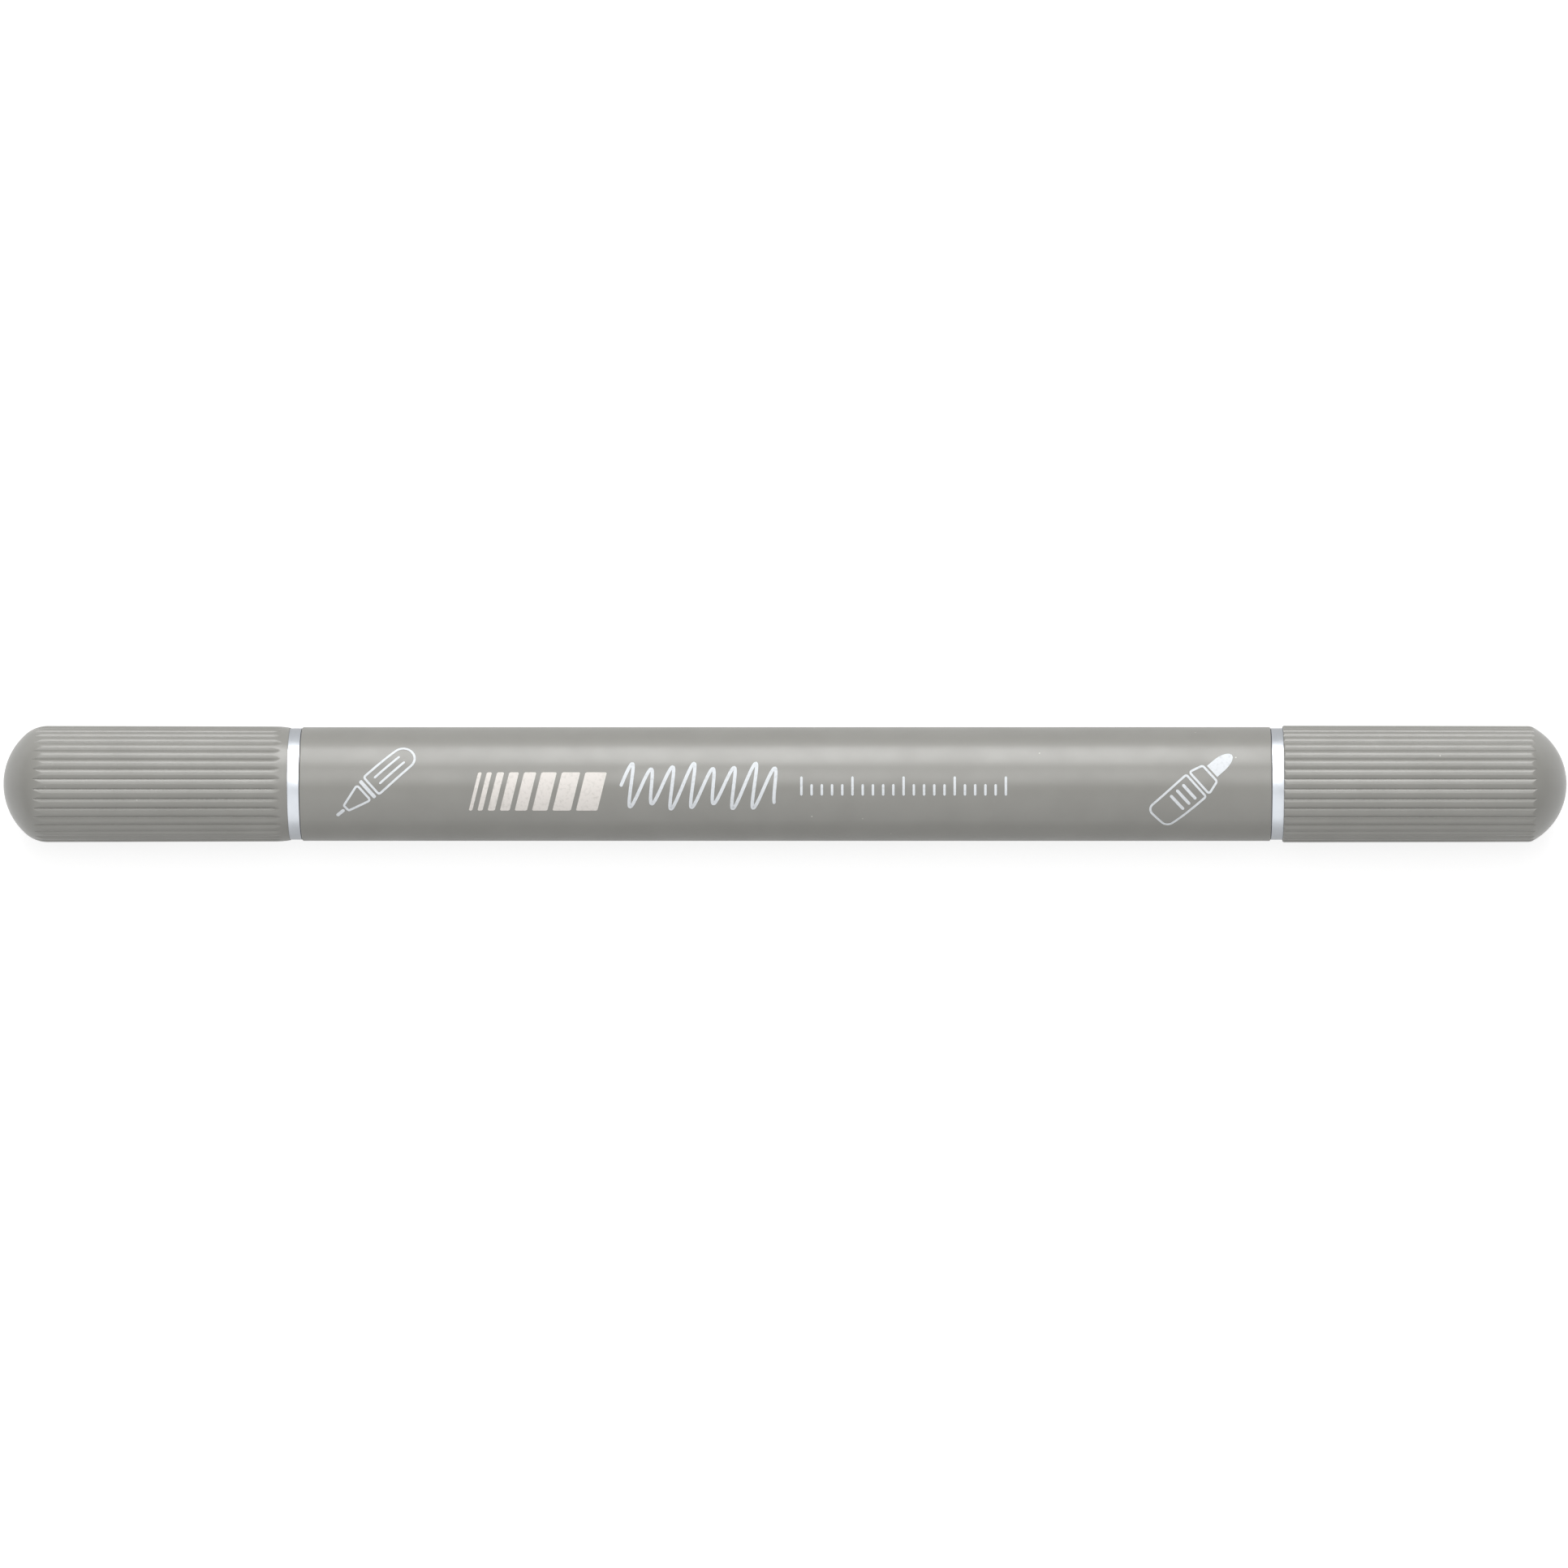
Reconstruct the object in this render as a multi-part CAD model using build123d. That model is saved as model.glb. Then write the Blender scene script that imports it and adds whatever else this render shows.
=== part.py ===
from build123d import *

import math
import os
from dataclasses import dataclass

# Double-ended felt tip marker, capped. A round barrel holds one fibre reservoir, with a fine point
# at one end and a broad felt nib at the other. Each end has a silver trim ring and a reeded snap cap
# with a domed end and a sealing liner inside. Millimetres.
#
# Frame: the marker lies along X, fine end at -X, broad end at +X, with the printed side of the
# barrel up, +Z. The origin is on the barrel's axis, midway between the tops of the two domes.
#
# Each end is modelled pointing along +X from the end face of the barrel, which is station 0, and is
# then set on its own end. A station is a distance from that face, positive away from the barrel.

# ---- Barrel ----
BARREL_LENGTH = 95.2
BARREL_DIAMETER = 11.2
BARREL_WALL = 0.9
BARREL_EDGE_RADIUS = 0.12
GUIDE_RIB_COUNT = 4  # ribs inside the barrel that keep the reservoir central
GUIDE_RIB_WIDTH = 0.8
GUIDE_RIB_END_GAP = 1.0  # from the end of a section's plug to the ribs

# ---- Trim rings ----
RING_LENGTH = 1.2
RING_STEP = 0.09  # how far the rings lie below the barrel's surface
RING_EDGE_RADIUS = 0.06

# ---- Clearances, on the radius ----
RING_FIT = 0.02  # trim ring over the plug
RESERVOIR_FIT = 0.05  # reservoir film in the sections and between the guide ribs
CAP_FIT = 0.12  # cap bore over the seat
BEAD_FIT = 0.02  # cap bore over the snap bead, which the real cap springs over
SEAL_FIT = 0.02  # cap liner over the sealing land

# ---- Sections: what the nibs sit in and the caps go on ----
PLUG_LENGTH = 9.0
PLUG_WALL = 0.45
RESERVOIR_STOP = 0.5  # how far inside the barrel the reservoir ends
SEAT_LENGTH = 5.6
BEAD_STATION = 4.4
BEAD_WIDTH = 1.0
GRIP_STEP = 0.45  # in from the seat
STEP_CHAMFER = 0.3
CHAMBER_STEP = 0.65  # in from the reservoir pocket to the air space behind each nib
CHAMBER_LENGTH = 3.5
LAND_LENGTH = 3.0

FINE_LAND_STEP = 1.2  # in from the grip
FINE_NOSE_STEP = 0.5  # in from the land
FINE_NOSE_LENGTH = 5.6
FINE_MOUTH_WALL = 0.45

BROAD_LAND_STEP = 0.7
BROAD_NOSE_STEP = 0.4
BROAD_NOSE_LENGTH = 2.6
BROAD_MOUTH_WALL = 0.7
VENT_COUNT = 4  # air grooves beside the felt nib
VENT_WIDTH = 0.5
VENT_DEPTH = 0.3

# ---- Fine point ----
WICK_DIAMETER = 2.2
WICK_TAIL = 6.0  # how far it goes into the reservoir
SLEEVE_DIAMETER = 1.5
SLEEVE_WALL = 0.25
SLEEVE_SEAT = 4.0  # how much of the sleeve is held in the nose
SLEEVE_REACH = 2.2  # how much of it stands out
SLEEVE_CRIMP = 0.15
POINT_REACH = 0.8
POINT_TIP_DIAMETER = 0.45

# ---- Broad felt nib ----
NIB_DIAMETER = 3.6
NIB_TAIL = 6.0  # how far it goes into the reservoir
NIB_REACH = 7.0
NIB_SHANK = 1.0  # straight stretch outside the mouth
NIB_TIP_DIAMETER = 0.8
TAIL_CHAMFER = 0.5

# ---- Reservoir ----
FILM_THICKNESS = 0.1

# ---- Caps ----
REED_COUNT = 35
REED_DEPTH = 0.17
REED_LAND = 0.005  # how far the reeds are cut back to the turned surface
CAP_BORE_STEP = 0.63  # from the barrel's surface in to the bore of the caps
CAP_CROWN_WALL = 1.1
GROOVE_DEPTH = 0.12
GROOVE_SPARE = 0.1  # cap groove wider than the bead, on each side
CAP_LEAD_IN = 0.15

FINE_CAP_LENGTH = 28.3
FINE_CAP_MOUTH_PROUD = 0.06  # how far the cap stands out past the barrel's surface
FINE_CAP_DOME_PROUD = 0.13
FINE_DOME_DEPTH = 4.38
FINE_DOME_SHOULDER = 3.3
FINE_MOUTH_EASE_LENGTH = 1.5  # where the cap draws in to the ring
FINE_MOUTH_EASE_DEPTH = 0.12
REED_FADE_START = 2.0  # from the mouth to where the reeds begin to fade
REED_FADE_END = 0.9

BROAD_CAP_LENGTH = 27.9
BROAD_CAP_MOUTH_PROUD = 0.14
BROAD_CAP_DOME_PROUD = 0.1
BROAD_DOME_DEPTH = 3.78
BROAD_DOME_SHOULDER = 1.0
BROAD_MOUTH_EDGE_RADIUS = 0.2

# ---- Cap liners ----
LINER_WALL = 0.7
LINER_LEAD_IN = 0.2
LINER_CROWN_GAP = 0.6  # between the domes of the liner and of the cap
LINER_TIP_GAP = 1.3  # from the tip of a nib to the liner's dome
LINER_SETBACK = 0.3  # from the start of the sealing land to the mouth of the liner
LINER_FIN_COUNT = 6
LINER_FIN_WIDTH = 0.8
LINER_FIN_SETBACK = 1.0

# ---- Derived sizes ----
OVERALL_LENGTH = FINE_CAP_LENGTH + BROAD_CAP_LENGTH + 2 * RING_LENGTH + BARREL_LENGTH
FINE_FACE_X = FINE_CAP_LENGTH + RING_LENGTH - OVERALL_LENGTH / 2
BROAD_FACE_X = FINE_FACE_X + BARREL_LENGTH
BARREL_RADIUS = BARREL_DIAMETER / 2
PLUG_RADIUS = BARREL_RADIUS - BARREL_WALL
POCKET_RADIUS = PLUG_RADIUS - PLUG_WALL
FILM_RADIUS = POCKET_RADIUS - RESERVOIR_FIT
FIBRE_RADIUS = FILM_RADIUS - FILM_THICKNESS
RING_RADIUS = BARREL_RADIUS - RING_STEP
CHAMBER_RADIUS = POCKET_RADIUS - CHAMBER_STEP
CAP_BORE_RADIUS = BARREL_RADIUS - CAP_BORE_STEP
SEAT_RADIUS = CAP_BORE_RADIUS - CAP_FIT
SEAT_END = RING_LENGTH + SEAT_LENGTH
GRIP_RADIUS = SEAT_RADIUS - GRIP_STEP
FINE_LAND_RADIUS = GRIP_RADIUS - FINE_LAND_STEP
BROAD_LAND_RADIUS = GRIP_RADIUS - BROAD_LAND_STEP
FINE_CAP_MOUTH_RADIUS = BARREL_RADIUS + FINE_CAP_MOUTH_PROUD
BROAD_CAP_MOUTH_RADIUS = BARREL_RADIUS + BROAD_CAP_MOUTH_PROUD

# A nib reaches to just short of the dome inside its cap's liner, and its section is as long as that asks.
CROWN_TO_TIP = CAP_CROWN_WALL + LINER_CROWN_GAP + LINER_WALL + LINER_TIP_GAP
FINE_TIP = RING_LENGTH + FINE_CAP_LENGTH - CROWN_TO_TIP
SLEEVE_END = FINE_TIP - POINT_REACH
FINE_MOUTH = SLEEVE_END - SLEEVE_REACH
SLEEVE_START = FINE_MOUTH - SLEEVE_SEAT
FINE_NOSE_START = FINE_MOUTH - FINE_NOSE_LENGTH
BROAD_TIP = RING_LENGTH + BROAD_CAP_LENGTH - CROWN_TO_TIP
BROAD_MOUTH = BROAD_TIP - NIB_REACH
BROAD_NOSE_START = BROAD_MOUTH - BROAD_NOSE_LENGTH

MIN_SHOULDER = 0.1
OVERRUN = 1.0  # how far a cutting shape runs past what it cuts


@dataclass(frozen=True)
class Dome:
    """A rounded end: a crown arc centred on the axis that meets the side in a tighter shoulder arc."""

    apex: float
    radius: float
    depth: float
    shoulder: float

    @property
    def start(self):
        """Station where the straight side ends and the dome begins."""
        return self.apex - self.depth

    def inset(self, crown, side):
        """The dome inside this one, a crown wall and a side wall away from it."""
        shoulder = max(self.shoulder - side, MIN_SHOULDER)
        return Dome(self.apex - crown, self.radius - side, self.depth - crown, shoulder)

    def arcs(self):
        """The shoulder arc and the crown arc, from the side to the apex."""
        bend = min(self.shoulder, 0.9 * self.depth)
        reach = self.radius - bend
        crown = (self.depth**2 + reach**2 - bend**2) / (2 * (self.depth - bend))
        turn = math.atan2(reach, crown - self.depth)
        shoulder_arc = CenterArc((self.start, reach), bend, 90, math.degrees(turn) - 90)
        crown_arc = CenterArc((self.apex - crown, 0), crown, math.degrees(turn), -math.degrees(turn))
        return [shoulder_arc, crown_arc]


def turned(*stations):
    """A solid turned about the axis from the (station, radius) corners of its outline."""
    return revolve(make_face(Polyline(*stations, close=True)), Axis.X)


def domed_rod(start, start_radius, dome):
    """A solid rod from a flat end at start, straight or tapered, to a domed end."""
    side = Line((start, start_radius), (dome.start, dome.radius))
    base = Line((start, 0), (start, start_radius))
    axis = Line((dome.apex, 0), (start, 0))
    return revolve(make_face([base, side, *dome.arcs(), axis]), Axis.X)


def around_axis(shape, count, first_angle=0):
    """Copies of a shape, evenly spaced about the axis."""
    return [Rot(X=first_angle + 360 * k / count) * shape for k in range(count)]


def fin(start, end, inner_radius, outer_radius, width):
    """A thin lengthways fin that stands up from the axis, cut round at its inner and outer radius."""
    blade = Pos(X=(start + end) / 2, Z=outer_radius / 2) * Box(end - start, width, outer_radius)
    outside = turned((start, 0), (start, outer_radius), (end, outer_radius), (end, 0))
    inside = turned((start, 0), (start, inner_radius), (end, inner_radius), (end, 0))
    return (blade & outside) - inside


def at_fine_end(shape):
    """Sets a shape modelled from station 0 on the barrel's fine end."""
    return Pos(X=FINE_FACE_X) * Rot(Z=180) * shape


def at_broad_end(shape):
    """Sets a shape modelled from station 0 on the barrel's broad end."""
    return Pos(X=BROAD_FACE_X) * shape


def corner(face, station, radius):
    """The corner of an outline that lies at a station and a radius."""
    return face.vertices().sort_by_distance((station, radius, 0))[0]


# ---- Barrel, rings and reservoir ----


def barrel_tube():
    """A plain tube with eased edges, and ribs inside it between the two plugs."""
    outline = make_face(
        Polyline(
            (FINE_FACE_X, PLUG_RADIUS),
            (FINE_FACE_X, BARREL_RADIUS),
            (BROAD_FACE_X, BARREL_RADIUS),
            (BROAD_FACE_X, PLUG_RADIUS),
            close=True,
        )
    )
    outer_corners = [corner(outline, x, BARREL_RADIUS) for x in (FINE_FACE_X, BROAD_FACE_X)]
    tube = revolve(fillet(outer_corners, BARREL_EDGE_RADIUS), Axis.X)
    inset = PLUG_LENGTH + GUIDE_RIB_END_GAP
    rib = fin(
        FINE_FACE_X + inset,
        BROAD_FACE_X - inset,
        POCKET_RADIUS,
        PLUG_RADIUS + BARREL_WALL / 2,
        GUIDE_RIB_WIDTH,
    )
    return tube + around_axis(rib, GUIDE_RIB_COUNT, first_angle=45)


def trim_ring():
    """A plain band between the end of the barrel and the shoulder of a section."""
    bore = PLUG_RADIUS + RING_FIT
    outline = make_face(
        Polyline(
            (0, bore),
            (0, RING_RADIUS),
            (RING_LENGTH, RING_RADIUS),
            (RING_LENGTH, bore),
            close=True,
        )
    )
    outer_corners = [corner(outline, x, RING_RADIUS) for x in (0, RING_LENGTH)]
    return revolve(fillet(outer_corners, RING_EDGE_RADIUS), Axis.X)


def ink_reservoir(*pressed_in):
    """The fibre bundle, with what is pressed into its ends taken out of it."""
    start, end = FINE_FACE_X + RESERVOIR_STOP, BROAD_FACE_X - RESERVOIR_STOP
    bundle = turned((start, 0), (start, FIBRE_RADIUS), (end, FIBRE_RADIUS), (end, 0))
    for piece in pressed_in:
        bundle -= piece
    return bundle


def reservoir_film():
    """The film that is wrapped round the fibre bundle."""
    start, end = FINE_FACE_X + RESERVOIR_STOP, BROAD_FACE_X - RESERVOIR_STOP
    return turned((start, FIBRE_RADIUS), (start, FILM_RADIUS), (end, FILM_RADIUS), (end, FIBRE_RADIUS))


# ---- Sections ----


def snap_bead(base_radius, crest_radius, width):
    """A low rounded ring about the seat at the bead's station."""
    left, right = BEAD_STATION - width / 2, BEAD_STATION + width / 2
    crest = ThreePointArc((left, base_radius), (BEAD_STATION, crest_radius), (right, base_radius))
    foot = Polyline(
        (right, base_radius), (right, GRIP_RADIUS), (left, GRIP_RADIUS), (left, base_radius)
    )
    return revolve(make_face([crest, *foot.edges()]), Axis.X)


def section(land_radius, nose_start, nose_radius, mouth, mouth_radius, bore_radius):
    """A section: plug and reservoir pocket, shoulder, seat and snap bead, grip, sealing land and nose."""
    land_start = nose_start - LAND_LENGTH
    body = turned(
        (-PLUG_LENGTH, POCKET_RADIUS),
        (-PLUG_LENGTH, PLUG_RADIUS),
        (RING_LENGTH, PLUG_RADIUS),
        (RING_LENGTH, SEAT_RADIUS),
        (SEAT_END - STEP_CHAMFER, SEAT_RADIUS),
        (SEAT_END, GRIP_RADIUS),
        (land_start - STEP_CHAMFER, (land_radius + GRIP_RADIUS) / 2),
        (land_start, land_radius),
        (nose_start, land_radius),
        (nose_start, nose_radius),
        (mouth, mouth_radius),
        (mouth, bore_radius),
        (CHAMBER_LENGTH, bore_radius),
        (-RESERVOIR_STOP, CHAMBER_RADIUS),
        (-RESERVOIR_STOP, POCKET_RADIUS),
    )
    return body + snap_bead(SEAT_RADIUS, CAP_BORE_RADIUS - BEAD_FIT, BEAD_WIDTH)


def fine_section():
    """The fine end's section, bored for the wick and then for the steel sleeve."""
    bore = SLEEVE_DIAMETER / 2
    body = section(
        FINE_LAND_RADIUS,
        FINE_NOSE_START,
        FINE_LAND_RADIUS - FINE_NOSE_STEP,
        FINE_MOUTH,
        bore + FINE_MOUTH_WALL,
        bore,
    )
    wick_bore = turned(
        (0, 0), (0, WICK_DIAMETER / 2), (SLEEVE_START, WICK_DIAMETER / 2), (SLEEVE_START, 0)
    )
    return body - wick_bore


def broad_section():
    """The broad end's section, with air grooves beside the nib from the chamber to the mouth."""
    bore = NIB_DIAMETER / 2
    body = section(
        BROAD_LAND_RADIUS,
        BROAD_NOSE_START,
        BROAD_LAND_RADIUS - BROAD_NOSE_STEP,
        BROAD_MOUTH,
        bore + BROAD_MOUTH_WALL,
        bore,
    )
    vent = fin(0, BROAD_MOUTH + OVERRUN, bore / 2, bore + VENT_DEPTH, VENT_WIDTH)
    for groove in around_axis(vent, VENT_COUNT, first_angle=45):
        body -= groove
    return body


# ---- Nibs ----


def fine_wick():
    """The fibre rod that feeds the fine point from the reservoir."""
    radius, tail = WICK_DIAMETER / 2, -RESERVOIR_STOP - WICK_TAIL
    return turned(
        (tail, 0),
        (tail, radius - TAIL_CHAMFER),
        (tail + TAIL_CHAMFER, radius),
        (SLEEVE_START, radius),
        (SLEEVE_START, 0),
    )


def fine_nib_sleeve():
    """The steel sleeve round the fine point, crimped at its open end."""
    outer, bore = SLEEVE_DIAMETER / 2, SLEEVE_DIAMETER / 2 - SLEEVE_WALL
    return turned(
        (SLEEVE_START, bore),
        (SLEEVE_START, outer),
        (SLEEVE_END - 2 * SLEEVE_CRIMP, outer),
        (SLEEVE_END, outer - SLEEVE_CRIMP),
        (SLEEVE_END, bore),
    )


def fine_nib():
    """The fine point: a rod in the sleeve with a small rounded cone outside it."""
    radius, tip = SLEEVE_DIAMETER / 2 - SLEEVE_WALL, POINT_TIP_DIAMETER / 2
    side = Polyline(
        (FINE_TIP - tip, tip), (SLEEVE_END, radius), (SLEEVE_START, radius), (SLEEVE_START, 0), (FINE_TIP, 0)
    )
    rounding = RadiusArc((FINE_TIP - tip, tip), (FINE_TIP, 0), tip)
    return revolve(make_face([*side.edges(), rounding]), Axis.X)


def broad_nib():
    """The felt nib: a rod whose visible end narrows in a smooth curve to a small round tip."""
    radius, tip = NIB_DIAMETER / 2, NIB_TIP_DIAMETER / 2
    tail, shank_end = -RESERVOIR_STOP - NIB_TAIL, BROAD_MOUTH + NIB_SHANK
    curve_length = BROAD_TIP - tip - shank_end
    curve_radius = (curve_length**2 + (radius - tip) ** 2) / (2 * (radius - tip))
    curve = RadiusArc((shank_end, radius), (BROAD_TIP - tip, tip), curve_radius)
    rounding = RadiusArc((BROAD_TIP - tip, tip), (BROAD_TIP, 0), tip)
    rod = Polyline(
        (BROAD_TIP, 0),
        (tail, 0),
        (tail, radius - TAIL_CHAMFER),
        (tail + TAIL_CHAMFER, radius),
        (shank_end, radius),
    )
    return revolve(make_face([curve, rounding, *rod.edges()]), Axis.X)


# ---- Caps ----


def fine_dome():
    """The outside of the fine cap's dome."""
    apex = RING_LENGTH + FINE_CAP_LENGTH
    return Dome(apex, BARREL_RADIUS + FINE_CAP_DOME_PROUD, FINE_DOME_DEPTH, FINE_DOME_SHOULDER)


def broad_dome():
    """The outside of the broad cap's dome."""
    apex = RING_LENGTH + BROAD_CAP_LENGTH
    return Dome(apex, BARREL_RADIUS + BROAD_CAP_DOME_PROUD, BROAD_DOME_DEPTH, BROAD_DOME_SHOULDER)


def reeded_outline(station, crest_radius):
    """The cross-section of a cap at a station: rounded reeds that meet in sharp valleys."""
    pitch = 2 * math.pi / REED_COUNT
    valley_radius = crest_radius - REED_DEPTH

    def point(radius, angle):
        """A point of the cross-section, with angle 0 at the top of the marker."""
        return (station, radius * math.sin(angle), radius * math.cos(angle))

    reeds = [
        ThreePointArc(
            point(valley_radius, (k - 0.5) * pitch),
            point(crest_radius, k * pitch),
            point(valley_radius, (k + 0.5) * pitch),
        )
        for k in range(REED_COUNT)
    ]
    return make_face(reeds)


def reeded(turned_body, mouth_radius, dome):
    """Cuts the reeds into a turned cap. They follow its taper and run out on its dome."""
    slope = (dome.radius - mouth_radius) / (dome.start - RING_LENGTH)
    stations = (RING_LENGTH - OVERRUN, dome.apex + OVERRUN)
    outlines = [reeded_outline(x, mouth_radius + REED_LAND + slope * (x - RING_LENGTH)) for x in stations]
    return turned_body & loft(outlines, ruled=True)


def cap_cavity(dome):
    """What is hollow in a cap: lead-in, bore, snap groove and the inside of the dome."""
    inner = dome.inset(CAP_CROWN_WALL, dome.radius - CAP_BORE_RADIUS)
    mouth = turned(
        (RING_LENGTH - OVERRUN, 0),
        (RING_LENGTH - OVERRUN, CAP_BORE_RADIUS + CAP_LEAD_IN),
        (RING_LENGTH, CAP_BORE_RADIUS + CAP_LEAD_IN),
        (RING_LENGTH + CAP_LEAD_IN, CAP_BORE_RADIUS),
        (RING_LENGTH + CAP_LEAD_IN, 0),
    )
    groove = snap_bead(CAP_BORE_RADIUS, CAP_BORE_RADIUS + GROOVE_DEPTH, BEAD_WIDTH + 2 * GROOVE_SPARE)
    return domed_rod(RING_LENGTH, CAP_BORE_RADIUS, inner) + mouth + groove


def fine_cap_shell():
    """The fine end's cap. Its mouth draws in to the ring, and its reeds fade out before the mouth."""
    dome, mouth = fine_dome(), FINE_CAP_MOUTH_RADIUS
    body = domed_rod(RING_LENGTH, mouth, dome)
    fade_start, fade_end = RING_LENGTH + REED_FADE_START, RING_LENGTH + REED_FADE_END
    smooth_mouth = turned(
        (RING_LENGTH, 0),
        (RING_LENGTH, mouth),
        (fade_end, mouth),
        (fade_start, mouth - REED_DEPTH - REED_LAND),
        (fade_start, 0),
    )
    ease_end = RING_LENGTH + FINE_MOUTH_EASE_LENGTH
    ease_radius = (FINE_MOUTH_EASE_LENGTH**2 + FINE_MOUTH_EASE_DEPTH**2) / (2 * FINE_MOUTH_EASE_DEPTH)
    limit = mouth + OVERRUN
    eased = RadiusArc((RING_LENGTH, mouth - FINE_MOUTH_EASE_DEPTH), (ease_end, mouth), ease_radius)
    above = Polyline(
        (ease_end, mouth),
        (ease_end, limit),
        (RING_LENGTH, limit),
        (RING_LENGTH, mouth - FINE_MOUTH_EASE_DEPTH),
    )
    ease = revolve(make_face([eased, *above.edges()]), Axis.X)
    shell = reeded(body, mouth, dome) + (smooth_mouth & body)
    return shell - ease - cap_cavity(dome)


def broad_cap_shell():
    """The broad end's cap. Its reeds run out through a mouth that stands proud of the ring."""
    dome, mouth = broad_dome(), BROAD_CAP_MOUTH_RADIUS
    body = domed_rod(RING_LENGTH, mouth, dome)
    mouth_edge = body.edges().filter_by(GeomType.CIRCLE).sort_by(Axis.X)[0]
    body = fillet(mouth_edge, BROAD_MOUTH_EDGE_RADIUS)
    return reeded(body, mouth, dome) - cap_cavity(dome)


def cap_liner(nose_start, land_radius, dome):
    """The inner cup that seals on a section's land, held in the cap's bore by fins."""
    cavity = dome.inset(CAP_CROWN_WALL, dome.radius - CAP_BORE_RADIUS)
    bore = land_radius + SEAL_FIT
    mouth = nose_start - LAND_LENGTH + LINER_SETBACK
    outer_dome = cavity.inset(LINER_CROWN_GAP, CAP_BORE_RADIUS - bore - LINER_WALL)
    inner_dome = outer_dome.inset(LINER_WALL, LINER_WALL)
    lead_in = turned(
        (mouth, 0),
        (mouth, bore + LINER_LEAD_IN),
        (mouth + LINER_LEAD_IN, bore),
        (mouth + LINER_LEAD_IN, 0),
    )
    cup = domed_rod(mouth, bore + LINER_WALL, outer_dome) - domed_rod(mouth, bore, inner_dome) - lead_in
    blade = fin(
        mouth + LINER_FIN_SETBACK, cavity.start, bore + LINER_WALL / 2, CAP_BORE_RADIUS, LINER_FIN_WIDTH
    )
    return cup + around_axis(blade, LINER_FIN_COUNT)


def build():
    """Every piece of the marker in its place, by name."""
    wick, felt = at_fine_end(fine_wick()), at_broad_end(broad_nib())
    return {
        "barrel_tube": barrel_tube(),
        "fine_trim_ring": at_fine_end(trim_ring()),
        "broad_trim_ring": at_broad_end(trim_ring()),
        "fine_section": at_fine_end(fine_section()),
        "broad_section": at_broad_end(broad_section()),
        "fine_nib_sleeve": at_fine_end(fine_nib_sleeve()),
        "fine_nib": at_fine_end(fine_nib()),
        "fine_wick": wick,
        "broad_nib": felt,
        "ink_reservoir": ink_reservoir(wick, felt),
        "reservoir_film": reservoir_film(),
        "fine_cap_shell": at_fine_end(fine_cap_shell()),
        "fine_cap_liner": at_fine_end(cap_liner(FINE_NOSE_START, FINE_LAND_RADIUS, fine_dome())),
        "broad_cap_shell": at_broad_end(broad_cap_shell()),
        "broad_cap_liner": at_broad_end(cap_liner(BROAD_NOSE_START, BROAD_LAND_RADIUS, broad_dome())),
    }


os.makedirs("parts", exist_ok=True)
for name, piece in build().items():
    export_step(piece, f"parts/{name}.step")
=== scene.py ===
"""Looks of a double-ended felt tip marker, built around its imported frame.

The marker lies along X with its fine end at -X and its printed side up. Each end is worked out in its own
stations: a station is the distance from the end face of the barrel, positive away from the barrel, and
angle 0 round the axis is the top. Sizes in the classes are millimetres, apart from the heights of the
finishes' reliefs and the sizes of the studio, which are metres like every mesh.
"""

import functools
import logging
import math
from dataclasses import dataclass, field, replace
from enum import Enum
from typing import Callable, Sequence

import bmesh
import bpy
import numpy as np
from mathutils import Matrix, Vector


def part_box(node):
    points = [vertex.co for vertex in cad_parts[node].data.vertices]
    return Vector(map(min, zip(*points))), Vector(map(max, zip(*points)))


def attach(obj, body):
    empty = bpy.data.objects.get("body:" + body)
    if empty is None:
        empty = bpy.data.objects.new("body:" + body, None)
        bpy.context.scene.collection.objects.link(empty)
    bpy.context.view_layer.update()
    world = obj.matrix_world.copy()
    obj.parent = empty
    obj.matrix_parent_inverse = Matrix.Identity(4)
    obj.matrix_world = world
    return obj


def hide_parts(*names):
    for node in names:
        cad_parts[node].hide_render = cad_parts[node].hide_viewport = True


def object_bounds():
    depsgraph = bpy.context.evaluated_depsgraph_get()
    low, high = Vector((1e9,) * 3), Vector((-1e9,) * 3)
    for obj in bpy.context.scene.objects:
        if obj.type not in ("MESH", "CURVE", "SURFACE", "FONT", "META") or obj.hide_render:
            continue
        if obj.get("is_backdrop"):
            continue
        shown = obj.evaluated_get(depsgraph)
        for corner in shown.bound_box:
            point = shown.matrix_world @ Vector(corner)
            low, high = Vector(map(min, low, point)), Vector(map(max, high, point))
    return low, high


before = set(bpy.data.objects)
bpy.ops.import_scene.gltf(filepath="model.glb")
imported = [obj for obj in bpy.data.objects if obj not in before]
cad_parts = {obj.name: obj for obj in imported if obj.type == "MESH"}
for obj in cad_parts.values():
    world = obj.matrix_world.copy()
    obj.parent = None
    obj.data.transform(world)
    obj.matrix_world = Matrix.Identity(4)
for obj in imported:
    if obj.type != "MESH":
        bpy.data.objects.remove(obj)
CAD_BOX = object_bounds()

log = logging.getLogger("marker")

MM = 0.001
MERGE_DISTANCE = 1e-7  # metres
SHARP_ANGLE = math.radians(24)
PRINT_SHARP_ANGLE = math.radians(50)
ROUND_COLUMNS = 192
EDGE_GAP = 0.002  # radians between the two columns at the side of a rib or groove
MIN_STROKE = 0.02  # millimetres
HOLLOW_STEPS = 14
NOISE_SPAN = (0.3, 0.7)  # the noise texture mostly keeps between these

Corner = tuple[float, float, float]
Span = tuple[float, float]
Place = Callable[[np.ndarray], np.ndarray]
RadiusRule = Callable[[np.ndarray, np.ndarray, np.ndarray], np.ndarray]


# ---------------------------------------------------------------- frame


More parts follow.
